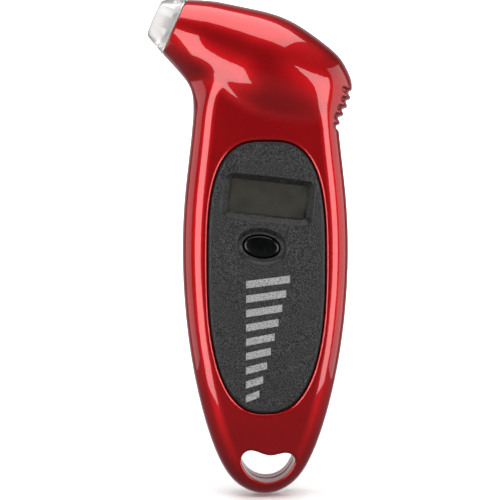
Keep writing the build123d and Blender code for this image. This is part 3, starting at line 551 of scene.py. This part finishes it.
def candy_red():
    """Metallic red lacquer under a clear coat, with fine flake and faint handling marks in the coat."""
    m = Nodes("candy_red")
    flake = m.cells(0.09)
    lacquer = m.ramp(m.noise(14.0, 2.0), (0.3, (0.34, 0.002, 0.004)), (0.7, (0.40, 0.003, 0.006)))
    tint = m.add("ShaderNodeMixRGB", blend_type="SOFT_LIGHT")
    tint.inputs["Fac"].default_value = 0.22
    m.tree.links.new(lacquer, tint.inputs["Color1"])
    m.tree.links.new(flake, tint.inputs["Color2"])
    m.set(Base_Color=tint.outputs["Color"], Metallic=0.93)
    m.set(Roughness=m.ramp(m.noise(0.6), (0.3, 0.41), (0.7, 0.47)))
    handled = m.ramp(m.noise(5.0, 6.0), (0.4, 0.02), (0.75, 0.05))
    m.set(Coat_Weight=1.0, Coat_Roughness=handled, Coat_IOR=1.5)
    m.plug("Normal", m.bump(m.noise(0.12, 1.0), 0.004, 0.35))
    m.plug("Coat Normal", m.bump(m.noise(9.0, 1.0), 0.02, 0.15))
    return m.material


def grained(name, low, high, grain, height, roughness=(0.42, 0.62), specular=0.4):
    """Moulded plastic, smooth on its bevels and edges, and grained on its front and rear faces."""
    m = Nodes(name)
    split = m.add("ShaderNodeSeparateXYZ")
    m.tree.links.new(m.add("ShaderNodeNewGeometry").outputs["Normal"], split.inputs["Vector"])
    square = m.add("ShaderNodeMath", operation="POWER")
    square.inputs[1].default_value = 2
    m.tree.links.new(split.outputs["Y"], square.inputs[0])
    etched = m.ramp(square.outputs["Value"], (0.86, 0.0), (0.96, 1.0))
    pebbles = m.noise(grain, 2.0)
    middle = tuple((a + b) / 3 for a, b in zip(low, high))
    face = m.add("ShaderNodeMixRGB")
    m.tree.links.new(etched, face.inputs["Fac"])
    m.tree.links.new(m.ramp(m.noise(grain * 3), (0.3, low), (0.8, middle)), face.inputs["Color1"])
    m.tree.links.new(m.ramp(pebbles, (0.40, low), (0.52, middle), (0.66, high)), face.inputs["Color2"])
    m.set(Base_Color=face.outputs["Color"], Specular_IOR_Level=specular)
    m.set(Roughness=m.ramp(pebbles, (0.35, roughness[1]), (0.65, roughness[0])))
    relief = m.add("ShaderNodeMixRGB", blend_type="MULTIPLY")
    relief.inputs["Fac"].default_value = 1
    m.tree.links.new(pebbles, relief.inputs["Color1"])
    m.tree.links.new(etched, relief.inputs["Color2"])
    fine = m.bump(m.noise(grain * 0.45, 2.0), height * 0.2)
    m.plug("Normal", m.bump(relief.outputs["Color"], height, 1.0, fine))
    return m.material


def plastic(name, colour, roughness, vary=0.15, size=1.2, height=0.01, **more):
    """Smooth moulded plastic: slightly uneven in colour and gloss."""
    m = Nodes(name)
    darker = tuple(c * (1 - vary) for c in colour)
    m.set(Base_Color=m.ramp(m.noise(size * 4), (0.35, darker), (0.65, colour)))
    m.set(Roughness=m.ramp(m.noise(size, 5.0), (0.3, roughness * 0.8), (0.7, roughness * 1.25)))
    m.plug("Normal", m.bump(m.noise(size * 0.5, 3.0), height, 0.5))
    m.set(**more)
    return m.material


def metal(name, colour, roughness, streak=(1, 1, 14), height=0.004):
    """Plated or turned metal with fine directional marks."""
    m = Nodes(name)
    marks = m.noise(0.5, 4.0, m.scaled(streak))
    darker = tuple(c * 0.8 for c in colour)
    m.set(Base_Color=m.ramp(marks, (0.3, darker), (0.7, colour)), Metallic=1.0)
    m.set(Roughness=m.ramp(m.noise(1.5, 5.0), (0.3, roughness * 0.7), (0.7, roughness * 1.3)))
    m.plug("Normal", m.bump(marks, height, 0.6))
    return m.material


def clear_plastic(name, tint, roughness, milk=0.0, edge=1.0, **more):
    """Clear moulded plastic, a little uneven. At a glancing angle its colour falls to edge times itself:
    painted shade that darkens its outlines.
    """
    m = Nodes(name)
    body = m.ramp(m.noise(3.0, 2.0), (0.3, tuple(c * 0.94 for c in tint)), (0.7, tint))
    # painted shade: towards glancing angles the colour is multiplied by edge, darkening the outlines
    glancing_shade = m.add("ShaderNodeLayerWeight")
    glancing_shade.inputs["Blend"].default_value = 0.35
    # rim holds the painted shade along the outlines: the colour times edge at glancing angles
    rim = m.add("ShaderNodeMixRGB", blend_type="MULTIPLY")
    m.tree.links.new(m.ramp(glancing_shade.outputs["Facing"], (0.5, 0.0), (0.9, 1.0)), rim.inputs["Fac"])
    m.tree.links.new(body, rim.inputs["Color1"])
    rim.inputs["Color2"].default_value = (edge, edge, edge, 1)
    m.set(Base_Color=rim.outputs["Color"], Transmission_Weight=1.0 - milk, IOR=1.35)
    m.set(Roughness=m.ramp(m.noise(0.8, 4.0), (0.3, roughness * 0.6), (0.7, roughness * 1.5)))
    m.plug("Normal", m.bump(m.noise(1.6, 2.0), 0.01, 0.3))
    m.set(**more)
    return m.material


def print_ink():
    """Pale speckled ink: darker pinholes where the panel's grain shows through."""
    m = Nodes("print_ink")
    speckle = m.noise(0.35, 3.0)
    m.set(Base_Color=m.ramp(speckle, (0.38, 0.08), (0.47, 0.20), (0.70, 0.27)))
    m.set(Roughness=m.ramp(speckle, (0.3, 0.7), (0.7, 0.5)))
    m.plug("Normal", m.bump(speckle, 0.03, 0.6))
    return m.material


def lcd_face():
    """Unlit liquid crystal glass: dark olive with a faint mottling."""
    m = Nodes("lcd_face")
    m.set(Base_Color=m.ramp(m.noise(6.0, 2.0), (0.3, (0.042, 0.037, 0.028)), (0.7, (0.056, 0.050, 0.040))))
    m.set(Roughness=m.ramp(m.noise(0.4, 2.0), (0.3, 0.32), (0.7, 0.42)))
    m.set(Coat_Weight=0.6, Coat_Roughness=0.12)
    m.plug("Normal", m.bump(m.noise(2.0, 1.0), 0.002, 0.4))
    return m.material


RED = candy_red()
PANEL = grained("panel_black", (0.002, 0.002, 0.0022), (0.052, 0.052, 0.052), 0.32, 0.14, (0.26, 0.46), 0.25)
DOOR = grained("door_black", (0.004, 0.004, 0.0042), (0.030, 0.030, 0.030), 0.40, 0.08)
INK = print_ink()
BUTTON_BLACK = plastic(
    "button_black", (0.0012, 0.0014, 0.0016), 0.2, 0.3, 2.0, 0.004,
    Coat_Weight=0.2, Coat_Roughness=0.1, Specular_IOR_Level=0.25,
)
# edge 0.10: painted shade darkens the clear tip's outlines to a tenth of its colour
CLEAR = clear_plastic("clear_nozzle", (0.78, 0.765, 0.755), 0.07, 0.30, 0.10, Specular_IOR_Level=0.25)
LENS = clear_plastic("display_lens", (0.93, 0.93, 0.90), 0.02)
WHITE = plastic("white_moulding", (0.72, 0.71, 0.68), 0.4, 0.06)
BLACK = plastic("black_moulding", (0.016, 0.016, 0.017), 0.45, 0.3)
RUBBER = grained("seal_rubber", (0.012, 0.012, 0.012), (0.025, 0.024, 0.023), 0.3, 0.02, (0.6, 0.8))
BRASS = metal("turned_brass", (0.72, 0.55, 0.28), 0.22)
STEEL = metal("zinc_steel", (0.58, 0.58, 0.60), 0.28, (6, 6, 6))
NICKEL = metal("nickel_plate", (0.70, 0.68, 0.63), 0.2, (1, 1, 18))
TIN = metal("tinned_parts", (0.62, 0.56, 0.46), 0.35, (4, 4, 4))


def solder_mask():
    """Green board: lacquer over faint tracks."""
    m = Nodes("solder_mask")
    tracks = m.add("ShaderNodeTexBrick")
    tracks.inputs["Scale"].default_value = 1 / (9 * MM)
    tracks.inputs["Mortar Size"].default_value = 0.018
    tracks.inputs["Color1"].default_value = (0.010, 0.10, 0.035, 1)
    tracks.inputs["Color2"].default_value = (0.012, 0.12, 0.040, 1)
    tracks.inputs["Mortar"].default_value = (0.03, 0.22, 0.08, 1)
    m.tree.links.new(m.position, tracks.inputs["Vector"])
    m.set(Base_Color=tracks.outputs["Color"], Coat_Weight=0.7, Coat_Roughness=0.1)
    m.set(Roughness=m.ramp(m.noise(1.0), (0.3, 0.3), (0.7, 0.4)))
    m.plug("Normal", m.bump(tracks.outputs["Fac"], 0.03, 0.5))
    return m.material


def striped_rubber():
    """Zebra connector: thin dark layers in pale silicone."""
    m = Nodes("striped_rubber")
    wave = m.add("ShaderNodeTexWave")
    wave.inputs["Scale"].default_value = 1 / (0.9 * MM)
    m.tree.links.new(m.position, wave.inputs["Vector"])
    m.set(Base_Color=m.ramp(wave.outputs["Fac"], (0.4, (0.03, 0.03, 0.03)), (0.6, (0.45, 0.44, 0.42))))
    m.set(Roughness=0.7)
    m.plug("Normal", m.bump(m.noise(0.3), 0.01, 0.5))
    return m.material


CAD_MATERIALS = {
    "lcd_panel": lcd_face(), "backlight_plate": WHITE, "zebra_strips": striped_rubber(), "lcd_frame": BLACK,
    "switch_body": NICKEL, "switch_plunger": BLACK, "main_board": solder_mask(), "controller_chip": BLACK,
    "board_components": TIN, "board_screws": STEEL, "negative_contact": NICKEL, "positive_contact": NICKEL,
    "sensor_ring": RUBBER, "pressure_sensor": NICKEL, "sensor_cap": BLACK, "nozzle_led": CLEAR,
    "sensor_wires": plastic("wire_red", (0.35, 0.02, 0.02), 0.4),
    "led_wires": plastic("wire_black", (0.02, 0.02, 0.02), 0.4),
}
for node_name, node_material in CAD_MATERIALS.items():
    nodes[node_name].data.materials.clear()
    nodes[node_name].data.materials.append(node_material)


# ---------------------------------------------------------------------------------------------- the housing
def boss_distance(x, z, radius):
    """Distance to the nearest of the housing's screws, less a radius."""
    return np.minimum.reduce([np.hypot(x - bx, z - bz) for bx, bz in BOSSES]) - radius


def door_screw_distance(x, z, radius):
    """Distance to the nearer of the door's screws, less a radius."""
    return np.hypot(x - HANDLE_X, np.abs(z - BAY_Z) - DOOR_SCREW) - radius


def shell(x, y, z, side):
    """Half the housing: side -1 is the front and 1 the rear."""
    o = outer(x, y, z)
    hole = hole_map(x, z)
    s, up = on_nozzle(x, z)
    hollow = np.maximum.reduce([o + WALL, HOLE_WALL - hole, -boss_distance(x, z, BOSS_RADIUS)])
    f = smax(o, -hole, HOLE_LIP)
    f = smax(f, -np.maximum(np.hypot(up, y) - SEAT_RADIUS, s - SEAT_END), 0.5)
    if side < 0:
        panel = panel_map(x, z)
        f = smax(f, -np.maximum(panel, -(o + PANEL_REBATE)), 1.5)
        f = smax(f, -np.maximum.reduce([panel + PANEL_LEDGE, y + 1]), 0.3)
    else:
        dx, dz = x - HANDLE_X, z - BAY_Z
        ledge = box_distance(dx, dz, DOOR_HALF[0] + DOOR_LEDGE, DOOR_HALF[1] + DOOR_LEDGE, DOOR_CORNER)
        ledge = np.maximum(ledge, LEDGE_INNER - y)
        wall = box_distance(dx, dz, BAY_HALF + BAY_WALL, BAY_HALF + BAY_WALL, BAY_CORNER)
        wall = np.maximum(wall, BAY_INNER - y)
        posts = np.maximum(door_screw_distance(x, z, DOOR_POST), POST_INNER - y)
        hollow = np.maximum.reduce([hollow, -ledge, -wall, -posts])
        door = box_distance(dx, dz, DOOR_HALF[0], DOOR_HALF[1], DOOR_CORNER)
        bay = box_distance(dx, dz, BAY_HALF, BAY_HALF, BAY_CORNER)
        f = smax(f, -np.maximum(door, DOOR_FACE - y), 0.8)
        f = smax(f, -np.maximum(bay, BAY_FLOOR - y), 0.4)
        f = smax(f, -np.maximum(door_screw_distance(x, z, DOOR_PILOT), PILOT_END - y), 0.2)
        f = smax(f, -np.maximum(boss_distance(x, z, COUNTERBORE), COUNTERBORE_FLOOR - y), 0.7)
        f = smax(f, -boss_distance(x, z, BOSS_BORE), 0.2)
    f = smax(f, -hollow, 0.4)
    return smax(f, -side * y + SEAM_GAP, 0.7)


def housing():
    """Both halves of the housing."""
    step = 0.48
    for name, side, y in (("housing_front", -1, (-14.9, 0.6)), ("housing_rear", 1, (-0.6, 14.9))):
        half = functools.partial(shell, side=side)
        obj = moulded(name, half, (-29, y[0], -1), (33, y[1], 151.5), step, RED)
        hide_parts("front_shell" if side < 0 else "rear_shell")


# ------------------------------------------------------------------------------------------- the face panel
def panel_top(x, z):
    """How far in front of the parting plane the panel's face is."""
    edge = smoothstep(-panel_map(x, z), 0, CROWN_REACH)
    return depth(z) + PANEL_PROUD + PANEL_CROWN * edge


def panel_form(x, y, z):
    """The insert: a crowned face with the button's dish, a rim for the rebate, four posts and the window."""
    outline = panel_map(x, z)
    height = -y
    bx, bz = turned(x, z, BUTTON[:2], BUTTON[2])
    oval = oval_distance(bx, bz, BUTTON[3] + BUTTON_GAP, BUTTON[4] + BUTTON_GAP)
    top = panel_top(x, z) - DISH_DEPTH * (1 - smoothstep(oval, DISH_START, DISH_END))
    f = smax(outline + PANEL_GAP, height - top, 1.6)
    f = smax(f, -(height - depth(z) + PANEL_BACK), 0.2)
    f = np.maximum(f, np.minimum(outline + PANEL_LEDGE + 0.12, depth(z) - PANEL_REBATE + 0.05 - height))
    places = [(side * POST_OUT, level) for side in (-1, 1) for level in POST_HEIGHTS]
    posts = np.minimum.reduce([np.hypot(x - HANDLE_X - out, z - level) - PANEL_POST for out, level in places])
    f = np.minimum(f, np.maximum.reduce([posts, POST_END - height, height - POST_ROOT]))
    wx, wz = turned(x, z, WINDOW[:2], WINDOW[2])
    rise = np.clip((height - WINDOW_FLOOR) / WINDOW_BEVEL, 0, 1.3)
    corner = WINDOW_CORNER + BEVEL_UP * rise
    window = box_distance(wx, wz, WINDOW[3] + BEVEL_OUT * rise, WINDOW[4] + BEVEL_UP * rise, corner)
    f = smax(f, -window * BEVEL_SLOPE, 0.35)
    return smax(f, -oval, 0.4)


def face_panel():
    """The black insert in the front."""
    step = 0.3
    obj = moulded("panel_insert", panel_form, (-15, -10.9, 24.5), (24.5, -3.0, 109.5), step, PANEL)
    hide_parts("face_panel")


def bar_patch(corners):
    """Vertices and faces of a thin raised bar that follows the panel's face, from four (x, z) corners."""
    a, b, c, d = (np.array(p, float) for p in corners)
    nu, nv = BAR_GRID
    u, v = np.meshgrid(np.linspace(0, 1, nu), np.linspace(0, 1, nv), indexing="ij")
    u, v = u.ravel()[:, None], v.ravel()[:, None]
    flat = (1 - u) * (1 - v) * a + u * (1 - v) * b + u * v * c + (1 - u) * v * d
    rim = np.minimum(np.minimum(u, 1 - u) * 14, np.minimum(v, 1 - v) * 6).ravel()
    face = panel_top(flat[:, 0], flat[:, 1])
    height = face + INK_EDGE + INK_RISE * np.clip(rim, 0, 1)
    front = np.stack([flat[:, 0], -height, flat[:, 1]], 1)
    back = np.stack([flat[:, 0], -(face - INK_SUNK), flat[:, 1]], 1)
    n = nu * nv
    faces = []
    for i in range(nu - 1):
        for j in range(nv - 1):
            p = i * nv + j
            faces.append((p, p + nv, p + nv + 1, p + 1))
            faces.append((n + p, n + p + 1, n + p + nv + 1, n + p + nv))
    edge = [i * nv for i in range(nu)] + [(nu - 1) * nv + j for j in range(1, nv)]
    edge += [i * nv + nv - 1 for i in range(nu - 2, -1, -1)] + list(range(nv - 2, 0, -1))
    for i, p in enumerate(edge):
        q = edge[(i + 1) % len(edge)]
        faces.append((q, p, n + p, n + q))
    return np.vstack([front, back]), faces


def graphic():
    """A column of slanted bars that grow wider upwards."""
    vertices, faces = [], []
    for i in range(BAR_COUNT):
        right = BAR_LEFT + (BAR_NARROW + BAR_GROWTH * i / (BAR_COUNT - 1))
        z = BAR_LOWEST + BAR_PITCH * i
        v, f = bar_patch([(BAR_LEFT, z - 2.7), (right, z - 1.1), (right, z + 1.1), (BAR_LEFT, z - 0.5)])
        start = sum(len(p) for p in vertices)
        vertices.append(v)
        faces += [tuple(start + k for k in face) for face in f]
    obj = mesh_object("printed_scale", np.vstack(vertices), faces, INK)
    tidy_mesh(obj)
    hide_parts("panel_graphic")


# --------------------------------------------------------------------------------------- display and button
def lens_form(x, y, z):
    """The clear plate behind the window."""
    wx, wz = turned(x, z, WINDOW[:2], WINDOW[2])
    f = box_distance(wx, wz, WINDOW[3] + LENS_MARGIN, WINDOW[4] + LENS_MARGIN, 0.9)
    return smax(f, np.abs(-y - LENS_MIDDLE) - LENS_HALF, 0.25)


def button_form(x, y, z):
    """An oval cap with a crowned top, and the flange that holds it behind the panel."""
    bx, bz = turned(x, z, BUTTON[:2], BUTTON[2])
    height = -y
    cap = oval_distance(bx, bz, BUTTON[3], BUTTON[4])
    crown = BUTTON_TOP - BUTTON_DOME * np.clip((bx / BUTTON[3]) ** 2 + (bz / BUTTON[4]) ** 2, 0, 1.5)
    stem = smax(smax(cap, height - crown, 1.1), BUTTON_BACK - height, 0.2)
    flange = oval_distance(bx, bz, BUTTON[3] + FLANGE_OUT, BUTTON[4] + FLANGE_OUT)
    flange = smax(flange, np.abs(height - FLANGE_MIDDLE) - FLANGE_HALF, 0.3)
    return np.minimum(stem, flange)


def display_and_button():
    """The display's lens and the push button."""
    lens = moulded("lens_plate", lens_form, (-9, -8.6, 80), (20.5, -6.7, 100.5), 0.25, LENS)
    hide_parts("display_window")
    low, high = (-4, -10.4, 70), (11.5, -5.8, 81.5)
    button = moulded("oval_button", button_form, low, high, 0.18, BUTTON_BLACK, "button")
    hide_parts("button_cap")


# ----------------------------------------------------------------------------------------- the battery door
def door_form(x, y, z):
    """The door, with five grip slots across it and two recessed screw holes."""
    dx, dz = x - HANDLE_X, z - BAY_Z
    side = box_distance(dx, dz, DOOR_HALF[0] - DOOR_GAP, DOOR_HALF[1] - DOOR_GAP, DOOR_CORNER - DOOR_GAP)
    f = smax(side, y - depth(z), 0.7)
    f = smax(f, DOOR_FACE + 0.05 - y, 0.2)
    for i in range(-2, 3):
        slot = box_distance(dx, dz - SLOT_PITCH * i, SLOT_HALF, SLOT_ROUND, SLOT_ROUND)
        f = smax(f, -np.maximum(slot, SLOT_FLOOR - y), 0.3)
    f = smax(f, -np.maximum(door_screw_distance(x, z, DOOR_RECESS), RECESS_FLOOR - y), 0.3)
    return smax(f, -door_screw_distance(x, z, DOOR_PILOT), 0.2)


def screw_form(x, y, z, distance, seat, end, shank, head, height):
    """Screws driven from the rear: a low pan head on its seat, and a ribbed shank down to its end."""
    d = distance(x, z, 0)
    crown = seat + height - 0.12 * (d / head) ** 2
    cap = smax(smax(d - head, y - crown, 0.35), seat + 0.03 - y, 0.1)
    rib = THREAD_DEPTH * np.cos(2 * math.pi * y / THREAD_PITCH)
    stem = smax(d - shank + THREAD_DEPTH + rib, np.maximum(y - seat - 0.2, end - y), 0.2)
    return np.minimum(cap, stem)


def cross_cut(f, x, y, z, centres, floor, size):
    """Cuts a cross down to a floor in each screw's head."""
    for cx, cz in centres:
        dx, dz = np.abs(x - cx), np.abs(z - cz)
        arm = np.minimum(np.maximum(dx - size, dz - size * 0.26), np.maximum(dz - size, dx - size * 0.26))
        f = smax(f, -np.maximum(arm, floor - y), 0.12)
    return f


def battery_parts():
    """The door, its screws, the housing's screws and the cell."""
    door = moulded("battery_cover", door_form, (-9.5, 7.4, 43), (19, 10.3, 81), 0.3, DOOR, "door")
    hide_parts("battery_door")

    places = [(HANDLE_X, BAY_Z + s * DOOR_SCREW) for s in (-1, 1)]

    def door_screws(x, y, z):
        f = screw_form(x, y, z, door_screw_distance, seat=8.65, end=3.85, shank=0.8, head=1.6, height=0.68)
        return cross_cut(f, x, y, z, places, floor=8.95, size=0.9)

    for i, (cx, cz) in enumerate(places):
        low, high = (cx - 2, 3.5, cz - 2), (cx + 2, 9.6, cz + 2)
        piece = moulded(f"door_screw_{i + 1}", door_screws, low, high, 0.12, STEEL, "door")
    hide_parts("door_screws")

    def housing_screws(x, y, z):
        f = screw_form(x, y, z, boss_distance, seat=4.55, end=-5.6, shank=1.0, head=1.9, height=1.35)
        return cross_cut(f, x, y, z, BOSSES, floor=5.1, size=1.2)

    for i, (cx, cz) in enumerate(BOSSES):
        low, high = (cx - 2.3, -5.9, cz - 2.3), (cx + 2.3, 6.3, cz + 2.3)
        piece = moulded(f"housing_screw_{i + 1}", housing_screws, low, high, 0.16, STEEL)
        if i == 0:
            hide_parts("housing_screws")

    def cell(x, y, z):
        d = np.hypot(x - HANDLE_X, z - BAY_Z)
        can = smax(d - CELL_RADIUS, np.abs(y - CELL_MIDDLE) - CELL_HALF, 0.7)
        cap = smax(d - CAP_RADIUS, np.abs(y - CAP_MIDDLE) - CAP_HALF, 0.3)
        ring = np.maximum(np.abs(d - RING_RADIUS) - RING_HALF, RING_FLOOR - y)
        return smax(np.minimum(can, cap), -ring, 0.15)

    coin = moulded("coin_battery", cell, (-5.8, 3.9, 51.5), (15.2, 7.9, 72.5), 0.25, NICKEL)
    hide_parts("coin_cell")


# ----------------------------------------------------------------------------------------------- the nozzle
def nozzle():
    """The clear tip and the turned parts inside it, from sections of (distance in from the mouth, radius)."""
    section = [
        (12.0, 5.7), (5.0, 5.7), (5.0, 4.2), (0.6, 4.2), (0.0, 4.6), (0.25, 5.6), (1.0, 6.15), (6.1, 8.55),
        (6.1, 8.8), (6.72, 8.8), (6.72, 6.78), (8.9, 6.78), (8.9, 7.5), (10.1, 7.5), (10.1, 6.78),
        (12.0, 6.78),
    ]
    tip = lathe("clear_tip", rounded(section, 0.22), CLEAR)
    notch(tip)
    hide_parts("nozzle_tip")
    turned_parts = [
        ("mouth_seal", "valve_seal", "seal_rubber", RUBBER,
         [(5.45, 2.2), (5.05, 2.6), (5.05, 5.58), (7.6, 5.58), (7.6, 2.2)], 0.25),
        ("core_pin", "valve_pin", "pin_brass", BRASS,
         [(5.1, 0.45), (5.1, 0.85), (5.35, 1.1), (9.6, 1.1), (9.6, 0.45)], 0.12),
        ("air_tube", "air_chamber", "chamber_plastic", WHITE,
         [(7.65, 1.12), (7.65, 5.6), (12.0, 5.6), (12.0, 4.6), (17.55, 4.6), (17.55, 3.4), (21.5, 3.4),
          (21.5, 6.0), (27.0, 6.0), (27.0, 5.0), (23.0, 5.0), (23.0, 0.8), (9.65, 0.8), (9.65, 1.12)], 0.2),
    ]
    for name, node, slot, material, points, corner in turned_parts:
        piece = lathe(name, rounded(points, corner), material, 96)
        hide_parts(node)


def notch(tip):
    """Cuts two small keying notches in the foot of the clear cone."""
    for angle in (math.radians(degrees) for degrees in NOTCH_ANGLES):
        bm = bmesh.new()
        bmesh.ops.create_cube(bm, size=1)
        mesh = bpy.data.meshes.new("notch")
        bm.to_mesh(mesh)
        bm.free()
        cutter = bpy.data.objects.new("notch", mesh)
        bpy.context.scene.collection.objects.link(cutter)
        centre = Vector(nozzle_point(*NOTCH_AT, angle)) * MM
        out = (Vector(nozzle_point(NOTCH_AT[0], 10.0, angle)) * MM - centre).normalized()
        along = Vector((math.cos(TILT), 0, -math.sin(TILT)))
        turn = Matrix((along, out.cross(along), out)).transposed().to_4x4()
        size = Matrix.Diagonal((*(side * MM for side in NOTCH_SIZE), 1))
        cutter.matrix_world = Matrix.Translation(centre) @ turn @ size
        modifier = tip.modifiers.new("notch", "BOOLEAN")
        modifier.object, modifier.operation, modifier.solver = cutter, "DIFFERENCE", "EXACT"
        bpy.context.view_layer.update()
        result = bpy.data.meshes.new_from_object(tip.evaluated_get(bpy.context.evaluated_depsgraph_get()))
        tip.modifiers.remove(modifier)
        tip.data = result
        bpy.data.objects.remove(cutter)


housing()
face_panel()
graphic()
display_and_button()
battery_parts()
nozzle()


# ------------------------------------------------------------------------------------- floor, light, camera
def stage_material():
    """Plain pale paper."""
    m = Nodes("pale_stage")
    m.set(Base_Color=m.ramp(m.noise(60.0, 2.0), (0.3, 0.86), (0.7, 0.88)), Roughness=0.6)
    return m.material


STAGE = stage_material()
STAGE_HALF_WIDTH, FLOOR_FRONT, FLOOR_BACK, CURVE_RADIUS, WALL_TOP = 1.6, -0.9, 0.16, 0.25, 0.55
CAMERA_AIM, CAMERA_DISTANCE, CAMERA_ELEVATION, CAMERA_YAW = Vector((0.0002, 0, 0.0748)), 0.43, 4.5, -3
VIEW_WIDTH = 0.1509


def sheet(name, profile):
    """A wide smooth stage surface from (y, z) points, in metres."""
    vertices, faces = [], []
    for y, z in profile:
        vertices += [(-STAGE_HALF_WIDTH, y, z), (STAGE_HALF_WIDTH, y, z)]
    for i in range(len(profile) - 1):
        faces.append((2 * i, 2 * i + 1, 2 * i + 3, 2 * i + 2))
    mesh = bpy.data.meshes.new(name)
    mesh.from_pydata(vertices, [], faces)
    mesh.polygons.foreach_set("use_smooth", [True] * len(mesh.polygons))
    mesh.materials.append(STAGE)
    obj = bpy.data.objects.new(name, mesh)
    bpy.context.scene.collection.objects.link(obj)
    return obj


def backdrop():
    """A pale floor, and a wall that it curves up into behind the gauge."""
    floor = sheet("floor", [(FLOOR_FRONT, 0.0), (FLOOR_BACK, 0.0)])
    floor.visible_glossy = floor.visible_shadow = False
    r = CURVE_RADIUS
    curve = [(FLOOR_BACK + r * math.sin(a), r - r * math.cos(a)) for a in np.linspace(0, math.pi / 2, 18)]
    wall = sheet("wall", [*curve, (FLOOR_BACK + r, WALL_TOP)])
    wall.visible_glossy = False


def softbox(name, place, target, size, radiance):
    """A rectangular soft light, as bright as radiance says whatever its size."""
    light = bpy.data.lights.new(name, "AREA")
    light.shape, light.size, light.size_y = "RECTANGLE", size[0], size[1]
    light.energy = radiance * math.pi * size[0] * size[1]
    obj = bpy.data.objects.new(name, light)
    obj.location = place
    obj.rotation_euler = (Vector(target) - Vector(place)).to_track_quat("-Z", "Y").to_euler()
    bpy.context.scene.collection.objects.link(obj)


def map_range(tree, value, start, end, low, high):
    """The output of a node that maps the range from start to end onto low to high."""
    node = tree.nodes.new("ShaderNodeMapRange")
    for socket, number in (("From Min", start), ("From Max", end), ("To Min", low), ("To Max", high)):
        node.inputs[socket].default_value = number
    tree.links.new(value, node.inputs["Value"])
    return node.outputs["Result"]


def world():
    """A dim room, lighter below and behind, that the camera itself sees as pale."""
    room = bpy.data.worlds.new("studio")
    room.use_nodes = True
    tree, back = room.node_tree, room.node_tree.nodes["Background"]
    direction, split = tree.nodes.new("ShaderNodeTexCoord"), tree.nodes.new("ShaderNodeSeparateXYZ")
    tree.links.new(direction.outputs["Generated"], split.inputs["Vector"])
    both = tree.nodes.new("ShaderNodeMath")
    tree.links.new(map_range(tree, split.outputs["Z"], -0.1, -0.4, 0.04, 0.17), both.inputs[0])
    tree.links.new(map_range(tree, split.outputs["Y"], 0.60, 0.90, 0.0, 0.60), both.inputs[1])
    seen = tree.nodes.new("ShaderNodeMix")
    seen.inputs["B"].default_value = 0.9
    tree.links.new(tree.nodes.new("ShaderNodeLightPath").outputs["Is Camera Ray"], seen.inputs["Factor"])
    tree.links.new(both.outputs["Value"], seen.inputs["A"])
    tree.links.new(seen.outputs["Result"], back.inputs["Strength"])
    back.inputs["Color"].default_value = (0.96, 0.97, 1.0, 1)
    bpy.context.scene.world = room
    bpy.context.scene.view_settings.view_transform = "Standard"


def lights():
    """Soft boxes beside the camera, above and at the sides, and one that lights only the wall."""
    middle = (0, 0, 0.09)
    softbox("box_left", (-0.31, -0.39, 0.03), (0, 0, 0.05), (0.28, 0.44), 5.0)
    softbox("box_right", (0.35, -0.36, 0.05), (0, 0, 0.05), (0.24, 0.44), 4.9)
    softbox("box_top", (-0.02, -0.08, 0.60), middle, (0.80, 0.50), 3.9)
    softbox("side_left", (-0.72, 0.08, 0.15), middle, (0.55, 0.8), 1.3)
    softbox("side_right", (0.70, 0.00, 0.15), middle, (0.60, 0.8), 1.5)
    softbox("box_wall", (0.0, 0.04, 0.60), (0, 0.41, 0.60), (1.4, 0.5), 4.0)


def camera():
    """A camera a little above and to the left of the front, whose view is VIEW_WIDTH wide at its aim."""
    data = bpy.data.cameras.new("camera")
    elevation, yaw = math.radians(CAMERA_ELEVATION), math.radians(CAMERA_YAW)
    across, up = math.cos(elevation), math.sin(elevation)
    back = Vector((math.sin(yaw) * across, -math.cos(yaw) * across, up))
    data.sensor_width = 36
    data.lens = data.sensor_width * CAMERA_DISTANCE / VIEW_WIDTH
    obj = bpy.data.objects.new("camera", data)
    obj.location = CAMERA_AIM + back * CAMERA_DISTANCE
    obj.rotation_euler = (-back).to_track_quat("-Z", "Y").to_euler()
    data.clip_start, data.clip_end = 0.01, 10
    bpy.context.scene.collection.objects.link(obj)
    bpy.context.scene.camera = obj


backdrop()
lights()
world()
camera()
